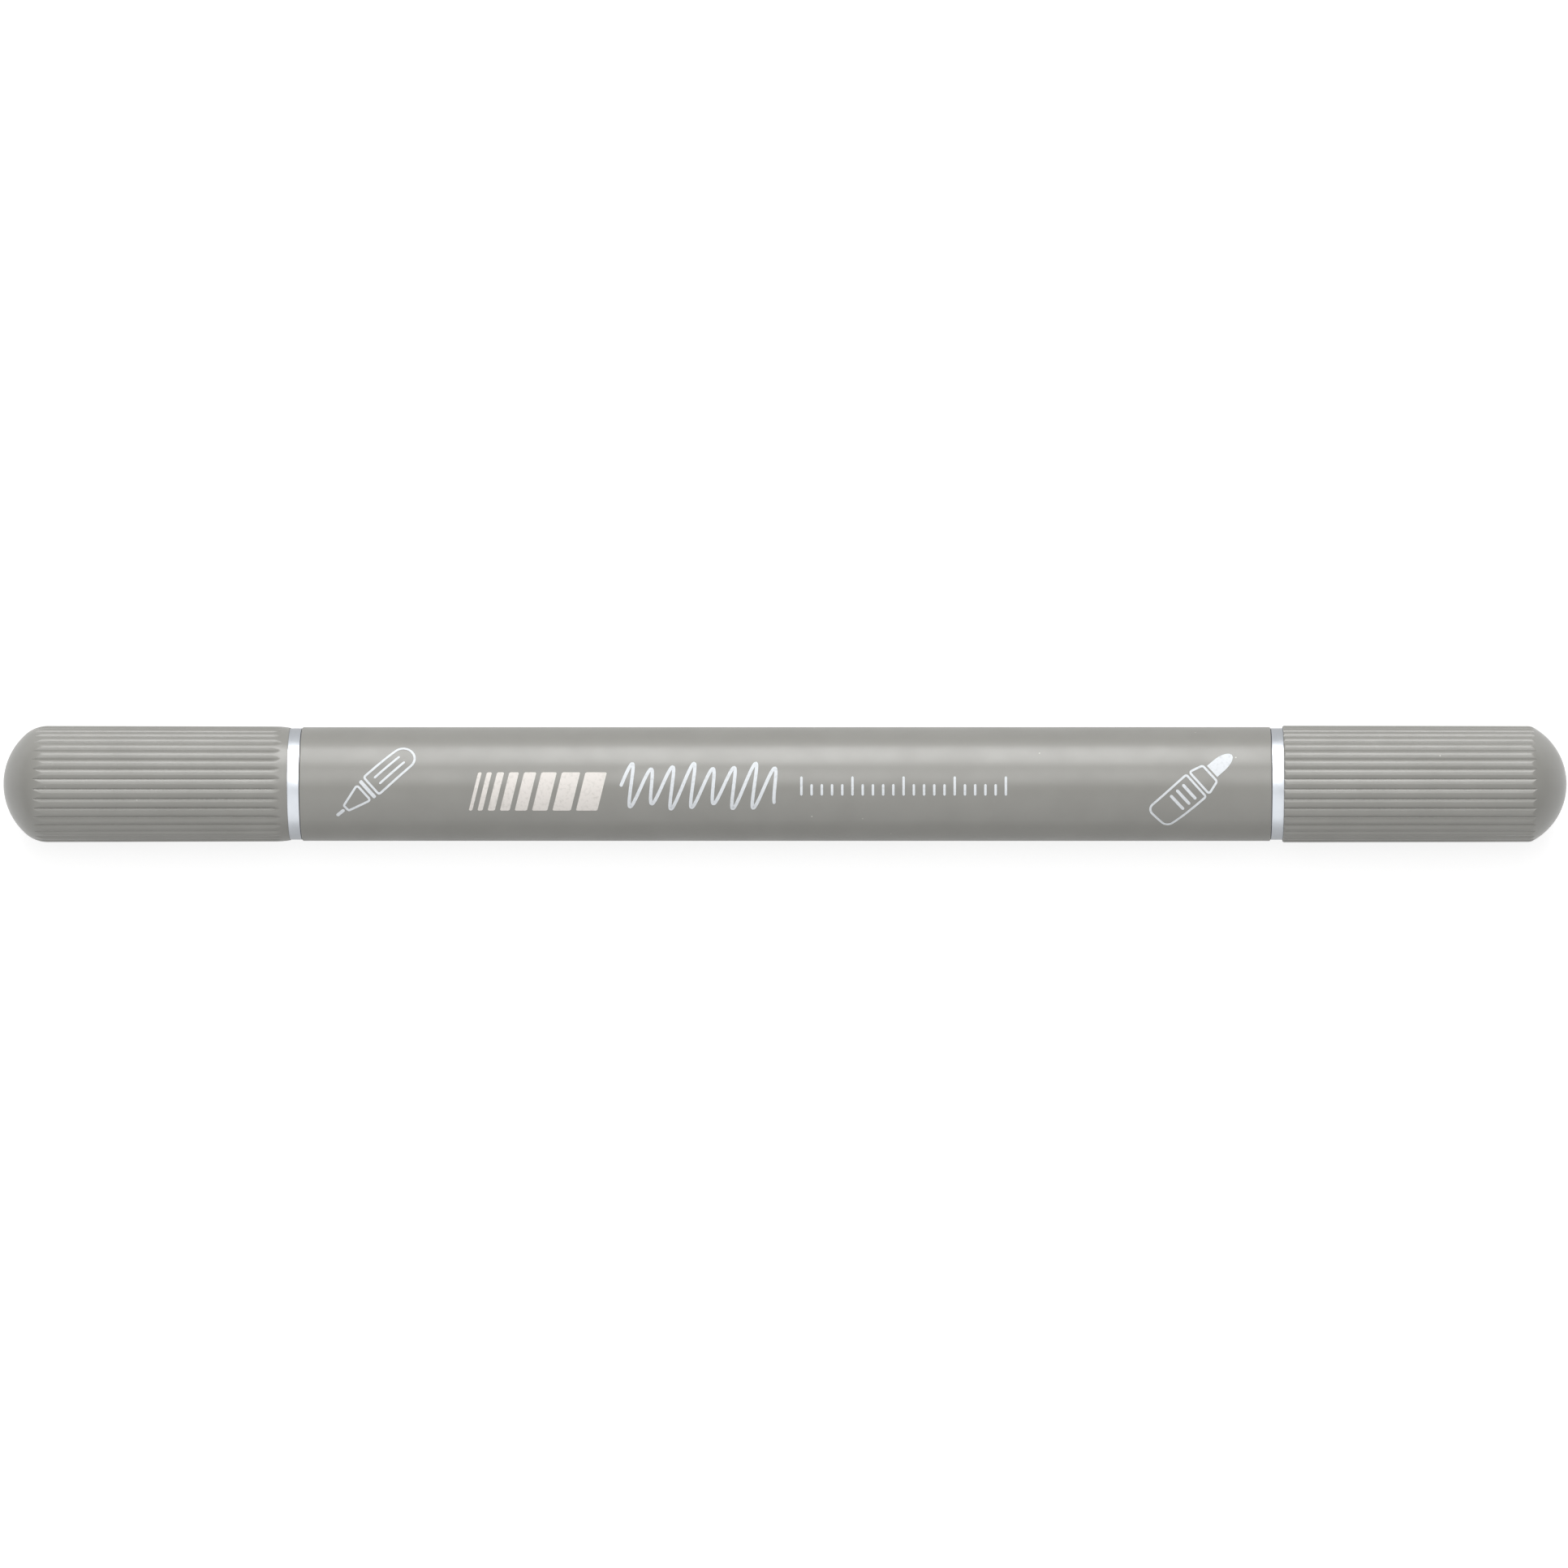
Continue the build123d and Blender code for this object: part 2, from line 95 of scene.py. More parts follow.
@functools.cache
def box_mm(node: str) -> tuple[Vector, Vector]:
    """Lowest and highest corner of a CAD node, in millimetres."""
    low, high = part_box(node)
    return low / MM, high / MM


def node_radius(node: str) -> float:
    """Largest reach of a CAD node from the axis, in millimetres."""
    low, high = box_mm(node)
    return max(high.y, high.z, -low.y, -low.z)


class End(Enum):
    """The two ends of the marker. The value is the way an end points along X."""

    FINE = -1
    BROAD = 1

    @property
    def label(self) -> str:
        """The word that the end's nodes and bodies start with."""
        return self.name.lower()

    @property
    def face_x(self) -> float:
        """X of the end's station 0, in millimetres: the end face of the barrel."""
        low, high = box_mm("barrel_tube")
        return high.x if self is End.BROAD else low.x

    def span(self, node: str) -> tuple[float, float]:
        """Stations of the two ends of a CAD node, the one nearer the barrel first, in millimetres."""
        near, far = sorted((edge.x - self.face_x) * self.value for edge in box_mm(node))
        return near, far

    def place(self, points: np.ndarray) -> np.ndarray:
        """Sets points worked out from station 0 on their end: the fine end is turned half round about Z.

        Args:
            points: array of shape (n, 3) of (station, y, z).

        Returns:
            The points in the frame, in millimetres.
        """
        placed = points * np.array([self.value, self.value, 1.0])
        placed[:, 0] += self.face_x
        return placed


def in_frame(points: np.ndarray) -> np.ndarray:
    """Leaves points that are already in the frame where they are."""
    return points


@dataclass(frozen=True)
class Fits:
    """Sizes that more than one piece needs, worked out from the radius of the barrel."""

    barrel: float
    barrel_wall: float = 0.9
    plug_length: float = 9.0
    plug_wall: float = 0.45
    rib_end_gap: float = 1.0
    reservoir_stop: float = 0.5
    ring_length: float = 1.2
    cap_bore_step: float = 0.63
    cap_fit: float = 0.12
    grip_step: float = 0.45
    bead_station: float = 4.4
    bead_width: float = 1.0
    crown_wall: float = 1.1
    land_length: float = 3.0
    seal_fit: float = 0.02

    @property
    def plug(self) -> float:
        """Radius of the sections' plugs, and of the barrel's bore."""
        return self.barrel - self.barrel_wall

    @property
    def pocket(self) -> float:
        """Radius of the pockets that hold the reservoir."""
        return self.plug - self.plug_wall

    @property
    def cap_bore(self) -> float:
        """Radius of the caps' bore."""
        return self.barrel - self.cap_bore_step

    @property
    def seat(self) -> float:
        """Radius of what the caps sit on."""
        return self.cap_bore - self.cap_fit

    @property
    def grip(self) -> float:
        """Radius of the sections where they are held in writing."""
        return self.seat - self.grip_step


# ---------------------------------------------------------------- outlines and meshes


def rounded(corners: Sequence[Corner], steps: int = 6, closed: bool = False) -> np.ndarray:
    """Outline through corners, each rounded by an arc that is tangent to both of its sides.

    At a corner with an angle of 2h between its sides, an arc of radius q starts q / tan(h) before the
    corner, and its centre lies q / sin(h) from the corner on the line that halves the angle.

    Args:
        corners: (along, out, rounding) triples. The first and the last stay sharp.
        steps: how many straight pieces stand for an arc.
        closed: True goes back to the first corner, without its point a second time.

    Returns:
        Array of (along, out) points.
    """
    if closed:
        return rounded([*corners, corners[0]], steps)[:-1]
    pieces = [np.array([corners[0][:2]], float)]
    for before, corner, after in zip(corners, corners[1:], corners[2:]):
        here = np.array(corner[:2], float)
        back = np.array(before[:2], float) - here
        ahead = np.array(after[:2], float) - here
        back, ahead = back / np.linalg.norm(back), ahead / np.linalg.norm(ahead)
        half = math.acos(float(np.clip(back @ ahead, -1, 1))) / 2
        if corner[2] <= 0:
            pieces.append(here[None])
            continue
        centre = here + (back + ahead) / np.linalg.norm(back + ahead) * corner[2] / math.sin(half)
        first = here + back * corner[2] / math.tan(half) - centre
        last = here + ahead * corner[2] / math.tan(half) - centre
        turn = math.atan2(first[0] * last[1] - first[1] * last[0], float(first @ last))
        angles = np.linspace(0, turn, steps + 1)[:, None]
        pieces.append(centre + np.cos(angles) * first + np.sin(angles) * np.array([-first[1], first[0]]))
    pieces.append(np.array([corners[-1][:2]], float))
    return np.concatenate(pieces)


def bulge(middle: float, width: float, height: float, base: float, steps: int = 10) -> np.ndarray:
    """Outline of a low rounded ring: an arc of radius (w^2 / 4 + h^2) / 2h through its foot and crest.

    Args:
        middle: station of the crest.
        width: length of the foot along the axis.
        height: how far the crest stands out.
        base: radius of the foot.
        steps: how many straight pieces stand for the arc.

    Returns:
        Array of (station, radius) points.
    """
    along = np.linspace(-width / 2, width / 2, steps + 1)
    arc = (width**2 / 4 + height**2) / (2 * height)
    return np.stack([middle + along, base + height - arc + np.sqrt(arc**2 - along**2)], axis=-1)


@dataclass(frozen=True)
class Dome:
    """A rounded end: a crown arc centred on the axis that meets the side in a tighter shoulder arc."""

    apex: float
    radius: float
    depth: float
    shoulder: float
    min_shoulder: float = 0.1

    @property
    def start(self) -> float:
        """Station where the straight side ends."""
        return self.apex - self.depth

    def inset(self, crown: float, side: float) -> "Dome":
        """The dome inside this one, a crown wall and a side wall away from it."""
        bend = max(self.shoulder - side, self.min_shoulder)
        return Dome(self.apex - crown, self.radius - side, self.depth - crown, bend)

    def at(self, share: np.ndarray) -> np.ndarray:
        """Points on the dome, by the share of its outline walked from the side (0) to the apex (1).

        With b the shoulder's radius, r the side's and d the depth, the crown's radius is
        (d^2 + (r - b)^2 - b^2) / 2 (d - b). The shoulder turns from the side until the crown takes over.

        Args:
            share: array of values from 0 to 1.

        Returns:
            Array of (station, radius) points, with one more dimension than share.
        """
        bend = self.shoulder
        reach = self.radius - bend
        crown = (self.depth**2 + reach**2 - bend**2) / (2 * (self.depth - bend))
        meet = math.atan2(reach, crown - self.depth)
        bend_length, crown_length = bend * (math.pi / 2 - meet), crown * meet
        walked = np.clip(share, 0, 1) * (bend_length + crown_length)
        on_bend = walked < bend_length
        angle = np.where(on_bend, math.pi / 2 - walked / bend, meet - (walked - bend_length) / crown)
        station = np.where(
            on_bend, self.start + bend * np.cos(angle), self.apex - crown + crown * np.cos(angle)
        )
        radius = np.where(on_bend, reach + bend * np.sin(angle), crown * np.sin(angle))
        return np.stack([station, np.maximum(radius, 0)], axis=-1)

    def outline(self, steps: int) -> np.ndarray:
        """Outline from the side to the apex, which ends on the axis."""
        return self.at(np.linspace(0, 1, steps + 1))


@dataclass(frozen=True)
class Around:
    """Ribs or grooves that are spaced evenly round the axis."""

    count: int
    width: float
    radius: float
    first: float = 0.0

    @property
    def half(self) -> float:
        """Half the angle that one of them covers."""
        return math.asin(self.width / 2 / self.radius)

    def offset(self, angles: np.ndarray) -> np.ndarray:
        """Angle from the middle of the nearest one, without its sign."""
        pitch = 2 * math.pi / self.count
        return np.abs((angles - self.first + pitch / 2) % pitch - pitch / 2)

    def columns(self) -> np.ndarray:
        """Even columns, with a close pair at each side of each rib or groove.

        Returns:
            The columns' angles, in order.
        """
        middles = self.first + np.arange(self.count) * 2 * math.pi / self.count
        sides = self.half * np.array([-1, -1, 1, 1]) + EDGE_GAP / 2 * np.array([-1, 1, -1, 1])
        even = np.arange(ROUND_COLUMNS) * 2 * math.pi / ROUND_COLUMNS
        even = even[np.abs(self.offset(even) - self.half) > 2 * EDGE_GAP]
        pairs = (middles[:, None] + sides).reshape(-1) % (2 * math.pi)
        return np.sort(np.concatenate([even, pairs]))

    def covers(self, angles: np.ndarray) -> np.ndarray:
        """True where an angle lies on one of them."""
        return self.offset(angles) < self.half

    def rule(self, bound: np.ufunc, limit: float, between: bool = True) -> RadiusRule:
        """A rule that holds the radii to a limit, between them or where they are.

        Args:
            bound: np.minimum or np.maximum.
            limit: the radius that the others are held to.
            between: True for the columns between them, False for the columns that they cover.

        Returns:
            The rule.
        """

        def held(stations: np.ndarray, radii: np.ndarray, angles: np.ndarray) -> np.ndarray:
            """The radii, held to the limit in the columns that the rule is for."""
            return np.where(self.covers(angles) ^ between, bound(radii, limit), radii)

        return held


def swept(outline: np.ndarray, angles: np.ndarray) -> np.ndarray:
    """Points round the axis: outline point (s, r) at angle a is (s, r sin a, r cos a).

    Args:
        outline: array of shape (rows, columns, 2) of (station, radius) points.
        angles: array of shape (columns,).

    Returns:
        Array of shape (rows, columns, 3).
    """
    station, radius = outline[..., 0], outline[..., 1]
    return np.stack([station, radius * np.sin(angles), radius * np.cos(angles)], axis=-1)


def grid_faces(rows: int, columns: int, close_rows: bool, close_columns: bool) -> np.ndarray:
    """Corner numbers of the squares between the points of a grid.

    Args:
        rows: how many rows of points there are.
        columns: how many points a row has.
        close_rows: True joins the last row to the first.
        close_columns: True joins the last column to the first.

    Returns:
        Array of shape (faces, 4).
    """
    row = np.arange(rows if close_rows else rows - 1)[:, None]
    column = np.arange(columns if close_columns else columns - 1)[None, :]
    below, beside = (row + 1) % rows, (column + 1) % columns
    corners = [
        row * columns + column,
        row * columns + beside,
        below * columns + beside,
        below * columns + column,
    ]
    return np.stack([corner.reshape(-1) for corner in corners], axis=-1)


def closed_mesh(
    name: str, points: np.ndarray, faces: np.ndarray, sharp: float = SHARP_ANGLE
) -> bpy.types.Mesh:
    """A closed mesh: doubles merged, normals outwards, and smooth except where it turns sharply.

    Args:
        name: the mesh's name.
        points: array of shape (n, 3) in the frame, in millimetres.
        faces: array of corner numbers.
        sharp: the angle from which an edge stays sharp, in radians.

    Returns:
        The mesh, in metres.
    """
    mesh = bpy.data.meshes.new(name)
    mesh.from_pydata(points * MM, [], faces)
    work = bmesh.new()
    work.from_mesh(mesh)
    bmesh.ops.remove_doubles(work, verts=work.verts, dist=MERGE_DISTANCE)
    bmesh.ops.recalc_face_normals(work, faces=work.faces)
    work.to_mesh(mesh)
    work.free()
    mesh.polygons.foreach_set("use_smooth", np.ones(len(mesh.polygons), bool))
    mesh.set_sharp_from_angle(angle=sharp)
    return mesh


def turned_mesh(
    name: str,
    outline: np.ndarray,
    place: Place,
    closed: bool,
    angles: np.ndarray | None = None,
    rule: RadiusRule | None = None,
) -> bpy.types.Mesh:
    """A turned solid: each outline point (s, r) is carried round the axis as (s, r sin a, r cos a).

    Args:
        name: the mesh's name.
        outline: array of (station, radius) points.
        place: sets the points in the frame.
        closed: True for a ring that never meets the axis, False for an outline from axis to axis.
        angles: the columns' angles, even ones if left out.
        rule: gives the radii from (stations, radii, angles) where the solid isn't quite round.

    Returns:
        The mesh, in metres.
    """
    if angles is None:
        angles = np.arange(ROUND_COLUMNS) * 2 * math.pi / ROUND_COLUMNS
    carried = np.repeat(outline[:, None], len(angles), axis=1)
    if rule:
        carried[..., 1] = rule(carried[..., 0], carried[..., 1], angles)
    points = place(swept(carried, angles).reshape(-1, 3))
    return closed_mesh(name, points, grid_faces(len(outline), len(angles), closed, True))


# ---------------------------------------------------------------- finishes


def linear(colour: str) -> tuple[float, float, float, float]:
    """An sRGB hex colour as linear RGBA: c / 12.92 up to 0.04045, else ((c + 0.055) / 1.055) ^ 2.4."""
    parts = [int(colour[i : i + 2], 16) / 255 for i in (0, 2, 4)]
    return (*[c / 12.92 if c <= 0.04045 else ((c + 0.055) / 1.055) ** 2.4 for c in parts], 1.0)


def per_mm(size: float) -> float:
    """Texture scale, on Object coordinates, of a pattern this many millimetres across."""
    return 1 / (size * MM)


def add_node(
    tree: bpy.types.NodeTree, kind: str, sockets: dict | None = None, **settings: object
) -> bpy.types.Node:
    """Adds a node with its settings and links.

    Args:
        tree: the node tree it goes into.
        kind: the node's type name.
        sockets: input name or number to its value, to the output that is linked to it, or to a node
            whose first output is.
        settings: properties of the node itself.

    Returns:
        The node.
    """
    node = tree.nodes.new(kind)
    for name, value in settings.items():
        setattr(node, name, value)
    for name, value in (sockets or {}).items():
        source = value.outputs[0] if isinstance(value, bpy.types.Node) else value
        if isinstance(source, bpy.types.NodeSocket):
            tree.links.new(source, node.inputs[name])
        else:
            node.inputs[name].default_value = source
    return node


def blotches(
    tree: bpy.types.NodeTree, size: float, detail: float = 2.0, stretch: Sequence[float] | None = None
) -> bpy.types.Node:
    """Noise on Object coordinates, as round blotches or drawn out into lines.

    Args:
        tree: the node tree it goes into.
        size: how many millimetres a blotch is across.
        detail: how many finer layers the noise has.
        stretch: scale along X, Y and Z, where a small number draws the blotches out.

    Returns:
        The noise.
    """
    where = add_node(tree, "ShaderNodeTexCoord").outputs["Object"]
    if stretch:
        where = add_node(tree, "ShaderNodeMapping", {"Vector": where, "Scale": stretch})
    return add_node(tree, "ShaderNodeTexNoise", {"Vector": where, "Scale": per_mm(size), "Detail": detail})


def blended(
    tree: bpy.types.NodeTree,
    noise: bpy.types.Node,
    span: Span,
    colours: Sequence[str | bpy.types.NodeSocket],
    cover: float = 1.0,
) -> bpy.types.NodeSocket:
    """One colour that turns into another as a pattern goes through a span of values.

    Args:
        tree: the node tree it goes into.
        noise: the pattern.
        span: the pattern's values at the first colour and at the second.
        colours: the two colours, as sRGB hex or as what gives them.
        cover: how far the second colour covers the first, from 0 to 1.

    Returns:
        The colour.
    """
    sockets = {"Value": noise, "From Min": span[0], "From Max": span[1], "To Max": cover}
    share = add_node(tree, "ShaderNodeMapRange", sockets)
    first, second = (linear(colour) if isinstance(colour, str) else colour for colour in colours)
    return add_node(tree, "ShaderNodeMix", {0: share, 6: first, 7: second}, data_type="RGBA").outputs[2]


def uneven(
    tree: bpy.types.NodeTree, noise: bpy.types.Node, roughness: Span, sockets: dict
) -> bpy.types.Node:
    """A surface whose roughness follows a pattern.

    Args:
        tree: the node tree it goes into.
        noise: the pattern.
        roughness: the roughness at the ends of NOISE_SPAN.
        sockets: the shader's other inputs.

    Returns:
        The shader.
    """
    spread = {"From Min": NOISE_SPAN[0], "From Max": NOISE_SPAN[1], "To Min": roughness[0]}
    mapped = add_node(tree, "ShaderNodeMapRange", {"Value": noise, **spread, "To Max": roughness[1]})
    return add_node(tree, "ShaderNodeBsdfPrincipled", {**sockets, "Roughness": mapped})


@dataclass(frozen=True)
class Finish:
    """A finish: what a piece is made of and how its surface was made."""

    name: str

    def surface(self, tree: bpy.types.NodeTree) -> bpy.types.Node:
        """The finish's shader, built into a tree."""
        raise NotImplementedError

    def material(self) -> bpy.types.Material:
        """The finish's material, which is made once.

        Returns:
            The material.
        """
        if self.name in bpy.data.materials:
            return bpy.data.materials[self.name]
        material = bpy.data.materials.new(self.name)
        material.use_nodes = True
        material.node_tree.nodes.clear()
        shader = self.surface(material.node_tree)
        add_node(material.node_tree, "ShaderNodeOutputMaterial", {"Surface": shader})
        return material


@dataclass(frozen=True)
class MouldedPolypropylene(Finish):
    """Satin moulded polypropylene.

    It gives the eye a waxy, even colour with soft broad highlights: the mould's fine etching blurs
    them, slow swells where the wall shrank bend them, and a few pale specks of dust cling to it.
    """

    tint: str = "8C8B86"
    cloud: str = "888782"
    dust: str = "D8D6D0"
    roughness: Span = (0.3, 0.36)
    ior: float = 1.65
    cloud_size: float = 3.5
    cloud_span: Span = (0.35, 0.65)
    etch_size: float = 0.25  # drawn coarser than the real etching, so that it shows
    etch_height: float = 1.5e-6
    swell_size: float = 4.0
    swell_height: float = 8e-6
    dust_spacing: float = 2.6
    dust_radius: float = 0.07
    dust_blur: float = 0.3
    dust_cover: float = 0.7

    def surface(self, tree: bpy.types.NodeTree) -> bpy.types.Node:
        """Clouds and dust in the colour, etching and swells in the bump.

        Args:
            tree: the material's nodes.

        Returns:
            The shader.
        """
        clouds = blotches(tree, self.cloud_size, 4.0)
        clouded = blended(tree, clouds, self.cloud_span, (self.tint, self.cloud))
        where = add_node(tree, "ShaderNodeTexCoord").outputs["Object"]
        cells = add_node(tree, "ShaderNodeTexVoronoi", {"Vector": where, "Scale": per_mm(self.dust_spacing)})
        edge = self.dust_radius / self.dust_spacing
        span = (edge * (1 + self.dust_blur), edge * (1 - self.dust_blur))
        dusty = blended(tree, cells, span, (clouded, self.dust), self.dust_cover)
        swells, etching = blotches(tree, self.swell_size, 1.0), blotches(tree, self.etch_size, 3.0)
        swollen = add_node(tree, "ShaderNodeBump", {"Height": swells, "Distance": self.swell_height})
        etched = add_node(
            tree, "ShaderNodeBump", {"Height": etching, "Distance": self.etch_height, "Normal": swollen}
        )
        sockets = {"Base Color": dusty, "IOR": self.ior, "Normal": etched}
        return uneven(tree, clouds, self.roughness, sockets)


@dataclass(frozen=True)
class SilverFoil(Finish):
    """Hot-stamped aluminium foil.

    It gives the eye a bright silver band with soft reflections, fine turned lines round it and the
    slight ripple of foil that was pressed onto plastic.
    """

    tint: str = "BCC0C5"
    roughness: Span = (0.3, 0.4)
    line_size: float = 0.08
    line_height: float = 8e-6
    line_stretch: tuple[float, float, float] = (1, 0.04, 0.04)
    ripple_size: float = 0.8
    ripple_height: float = 1.5e-6

    def surface(self, tree: bpy.types.NodeTree) -> bpy.types.Node:
        """Turned lines and ripples in the bump of a bright metal.

        Args:
            tree: the material's nodes.

        Returns:
            The shader.
        """
        lines = blotches(tree, self.line_size, stretch=self.line_stretch)
        ripples = blotches(tree, self.ripple_size)
        rippled = add_node(tree, "ShaderNodeBump", {"Height": ripples, "Distance": self.ripple_height})
        turned = add_node(
            tree, "ShaderNodeBump", {"Height": lines, "Distance": self.line_height, "Normal": rippled}
        )
        metal = {"Base Color": linear(self.tint), "Metallic": 1.0, "Normal": turned}
        return uneven(tree, ripples, self.roughness, metal)


@dataclass(frozen=True)
class DrawnSteel(Finish):
    """Drawn stainless tube.

    It gives the eye a clean grey metal, with the die's faint lines along its length.
    """

    tint: str = "C6C5C2"
    roughness: Span = (0.29, 0.44)
    line_size: float = 0.06
    line_height: float = 8e-7
    line_stretch: tuple[float, float, float] = (0.05, 1, 1)

    def surface(self, tree: bpy.types.NodeTree) -> bpy.types.Node:
        """Lines along the tube in the bump and the roughness of a metal.

        Args:
            tree: the material's nodes.

        Returns:
            The shader.
        """
        lines = blotches(tree, self.line_size, stretch=self.line_stretch)
        bump = add_node(tree, "ShaderNodeBump", {"Height": lines, "Distance": self.line_height})
        metal = {"Base Color": linear(self.tint), "Metallic": 1.0, "Normal": bump}
        return uneven(tree, lines, self.roughness, metal)


@dataclass(frozen=True)
class InkedFibre(Finish):
    """Polyester fibre, bonded or pressed into a rod and soaked with ink.

    It gives the eye a matt, faintly furry rod with strands along it, darker where the ink is wettest.
    """

    dry: str = "8B8882"
    wet: str = "5E5B56"
    roughness: float = 0.85
    fur: float = 0.25
    fur_roughness: float = 0.5
    strand: float = 0.08
    strand_span: Span = NOISE_SPAN
    strand_stretch: tuple[float, float, float] = (0.12, 1, 1)
    relief: float = 1.2e-5
    patch: float = 1.4
    patch_span: Span = (0.4, 0.7)
    patch_cover: float = 0.7

    def surface(self, tree: bpy.types.NodeTree) -> bpy.types.Node:
        """Strands in the colour and the bump, and wet patches over them.

        Args:
            tree: the material's nodes.

        Returns:
            The shader.
        """
        strands = blotches(tree, self.strand, 4.0, self.strand_stretch)
        patches = blotches(tree, self.patch, 3.0)
        stranded = blended(tree, strands, self.strand_span, (self.wet, self.dry))
        colour = blended(tree, patches, self.patch_span, (stranded, self.wet), self.patch_cover)
        bump = add_node(tree, "ShaderNodeBump", {"Height": strands, "Distance": self.relief})
        sockets = {"Base Color": colour, "Roughness": self.roughness, "Normal": bump}
        sockets |= {"Sheen Weight": self.fur, "Sheen Roughness": self.fur_roughness}
        return add_node(tree, "ShaderNodeBsdfPrincipled", sockets)


@dataclass(frozen=True)
class ScreenInk(Finish):
    """Screen-printed white ink.

    It gives the eye an opaque chalky white with a soft sheen, and thinner spots that the mesh left.
    """

    tint: str = "E9E4DF"
    thin: str = "CFCBC5"
    roughness: float = 0.5
    spot: float = 0.3
    spot_span: Span = (0.5, 0.8)
    spot_cover: float = 0.7
    grain: float = 0.12
    grain_height: float = 1e-6

    def surface(self, tree: bpy.types.NodeTree) -> bpy.types.Node:
        """Thin spots in the colour, the mesh's grain in the bump.

        Args:
            tree: the material's nodes.

        Returns:
            The shader.
        """
        spots, grain = blotches(tree, self.spot), blotches(tree, self.grain)
        colour = blended(tree, spots, self.spot_span, (self.tint, self.thin), self.spot_cover)
        bump = add_node(tree, "ShaderNodeBump", {"Height": grain, "Distance": self.grain_height})
        sockets = {"Base Color": colour, "Roughness": self.roughness, "Normal": bump}
        return add_node(tree, "ShaderNodeBsdfPrincipled", sockets)


@dataclass(frozen=True)
class ClearFilm(Finish):
    """Thin clear polypropylene film.

    It gives the eye a glossy see-through skin with wrinkles along it.
    """

    tint: str = "E6E7E5"
    roughness: float = 0.12
    ior: float = 1.49
    clearness: float = 0.9
    wrinkle: float = 1.2
    wrinkle_height: float = 2e-5
    wrinkle_stretch: tuple[float, float, float] = (0.3, 1, 1)

    def surface(self, tree: bpy.types.NodeTree) -> bpy.types.Node:
        """Wrinkles in the bump of a clear plastic.

        Args:
            tree: the material's nodes.

        Returns:
            The shader.
        """
        wrinkles = blotches(tree, self.wrinkle, 3.0, self.wrinkle_stretch)
        bump = add_node(tree, "ShaderNodeBump", {"Height": wrinkles, "Distance": self.wrinkle_height})
        sockets = {"Base Color": linear(self.tint), "Roughness": self.roughness, "Normal": bump}
        sockets |= {"IOR": self.ior, "Transmission Weight": self.clearness}
        return add_node(tree, "ShaderNodeBsdfPrincipled", sockets)


@dataclass(frozen=True)
class Finishes:
    """Every finish on the marker, by what wears it."""

    barrel: Finish = MouldedPolypropylene("satin_polypropylene_barrel")
    cap: Finish = MouldedPolypropylene("satin_polypropylene_caps", roughness=(0.285, 0.345))
    section: Finish = MouldedPolypropylene(
        "natural_polypropylene_sections", tint="DAD8D2", cloud="D3D1C9", dust="EAE9E4", roughness=(0.31, 0.37)
    )
    liner: Finish = MouldedPolypropylene(
        "natural_polyethylene_liners", tint="DEDCD5", cloud="D7D5CC", dust="EDECE6", roughness=(0.42, 0.48)
    )
    ring: Finish = SilverFoil("stamped_foil_rings")
    sleeve: Finish = DrawnSteel("drawn_steel_sleeve")
    point: Finish = InkedFibre("inked_plastic_fibre_point", dry="6A6762", wet="4A4844", strand=0.04)
    wick: Finish = InkedFibre("inked_fibre_wick")
    felt: Finish = InkedFibre("inked_pressed_felt", dry="7F7C76", wet="605D58", relief=1.6e-5)
    bundle: Finish = InkedFibre("inked_fibre_bundle", wet="6E6B65", strand=0.1)
    warm_ink: Finish = ScreenInk("screen_ink_warm_white")
    cool_ink: Finish = ScreenInk("screen_ink_cool_white", tint="E3E7EB", thin="C8CCCF")
    film: Finish = ClearFilm("clear_polypropylene_film")


def add_object(name: str, data: bpy.types.ID) -> bpy.types.Object:
    """Puts a mesh, a light or a camera into the scene as an object.

    Args:
        name: the object's name.
        data: the mesh, light or camera.

    Returns:
        The object.
    """
    made = bpy.data.objects.new(name, data)
    bpy.context.scene.collection.objects.link(made)
    return made


def dress_node(node: str, finish: Finish) -> None:
    """Gives a CAD node that stays its finish.

    Args:
        node: the CAD node's name.
        finish: what it is dressed in.
    """
    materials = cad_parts[node].data.materials
    materials.clear()
    materials.append(finish.material())
    log.info("node %s dressed as %s", node, finish.name)


def show(
    mesh: bpy.types.Mesh, body: str, finish: Finish, stands_for: Sequence[str] = ()
) -> bpy.types.Object:
    """Makes a mesh a piece of the marker.

    Args:
        mesh: the piece's mesh, in its place in the frame.
        body: the CAD body it rides on.
        finish: what it is dressed in.
        stands_for: the CAD nodes it replaces.

    Returns:
        The piece.
    """
    piece = add_object(mesh.name, mesh)
    mesh.materials.append(finish.material())
    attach(piece, body)
    if stands_for:
        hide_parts(*stands_for)
    log.info("piece %s: %d faces, rides on %s", mesh.name, len(mesh.polygons), body)
    return piece


# ---------------------------------------------------------------- barrel and rings


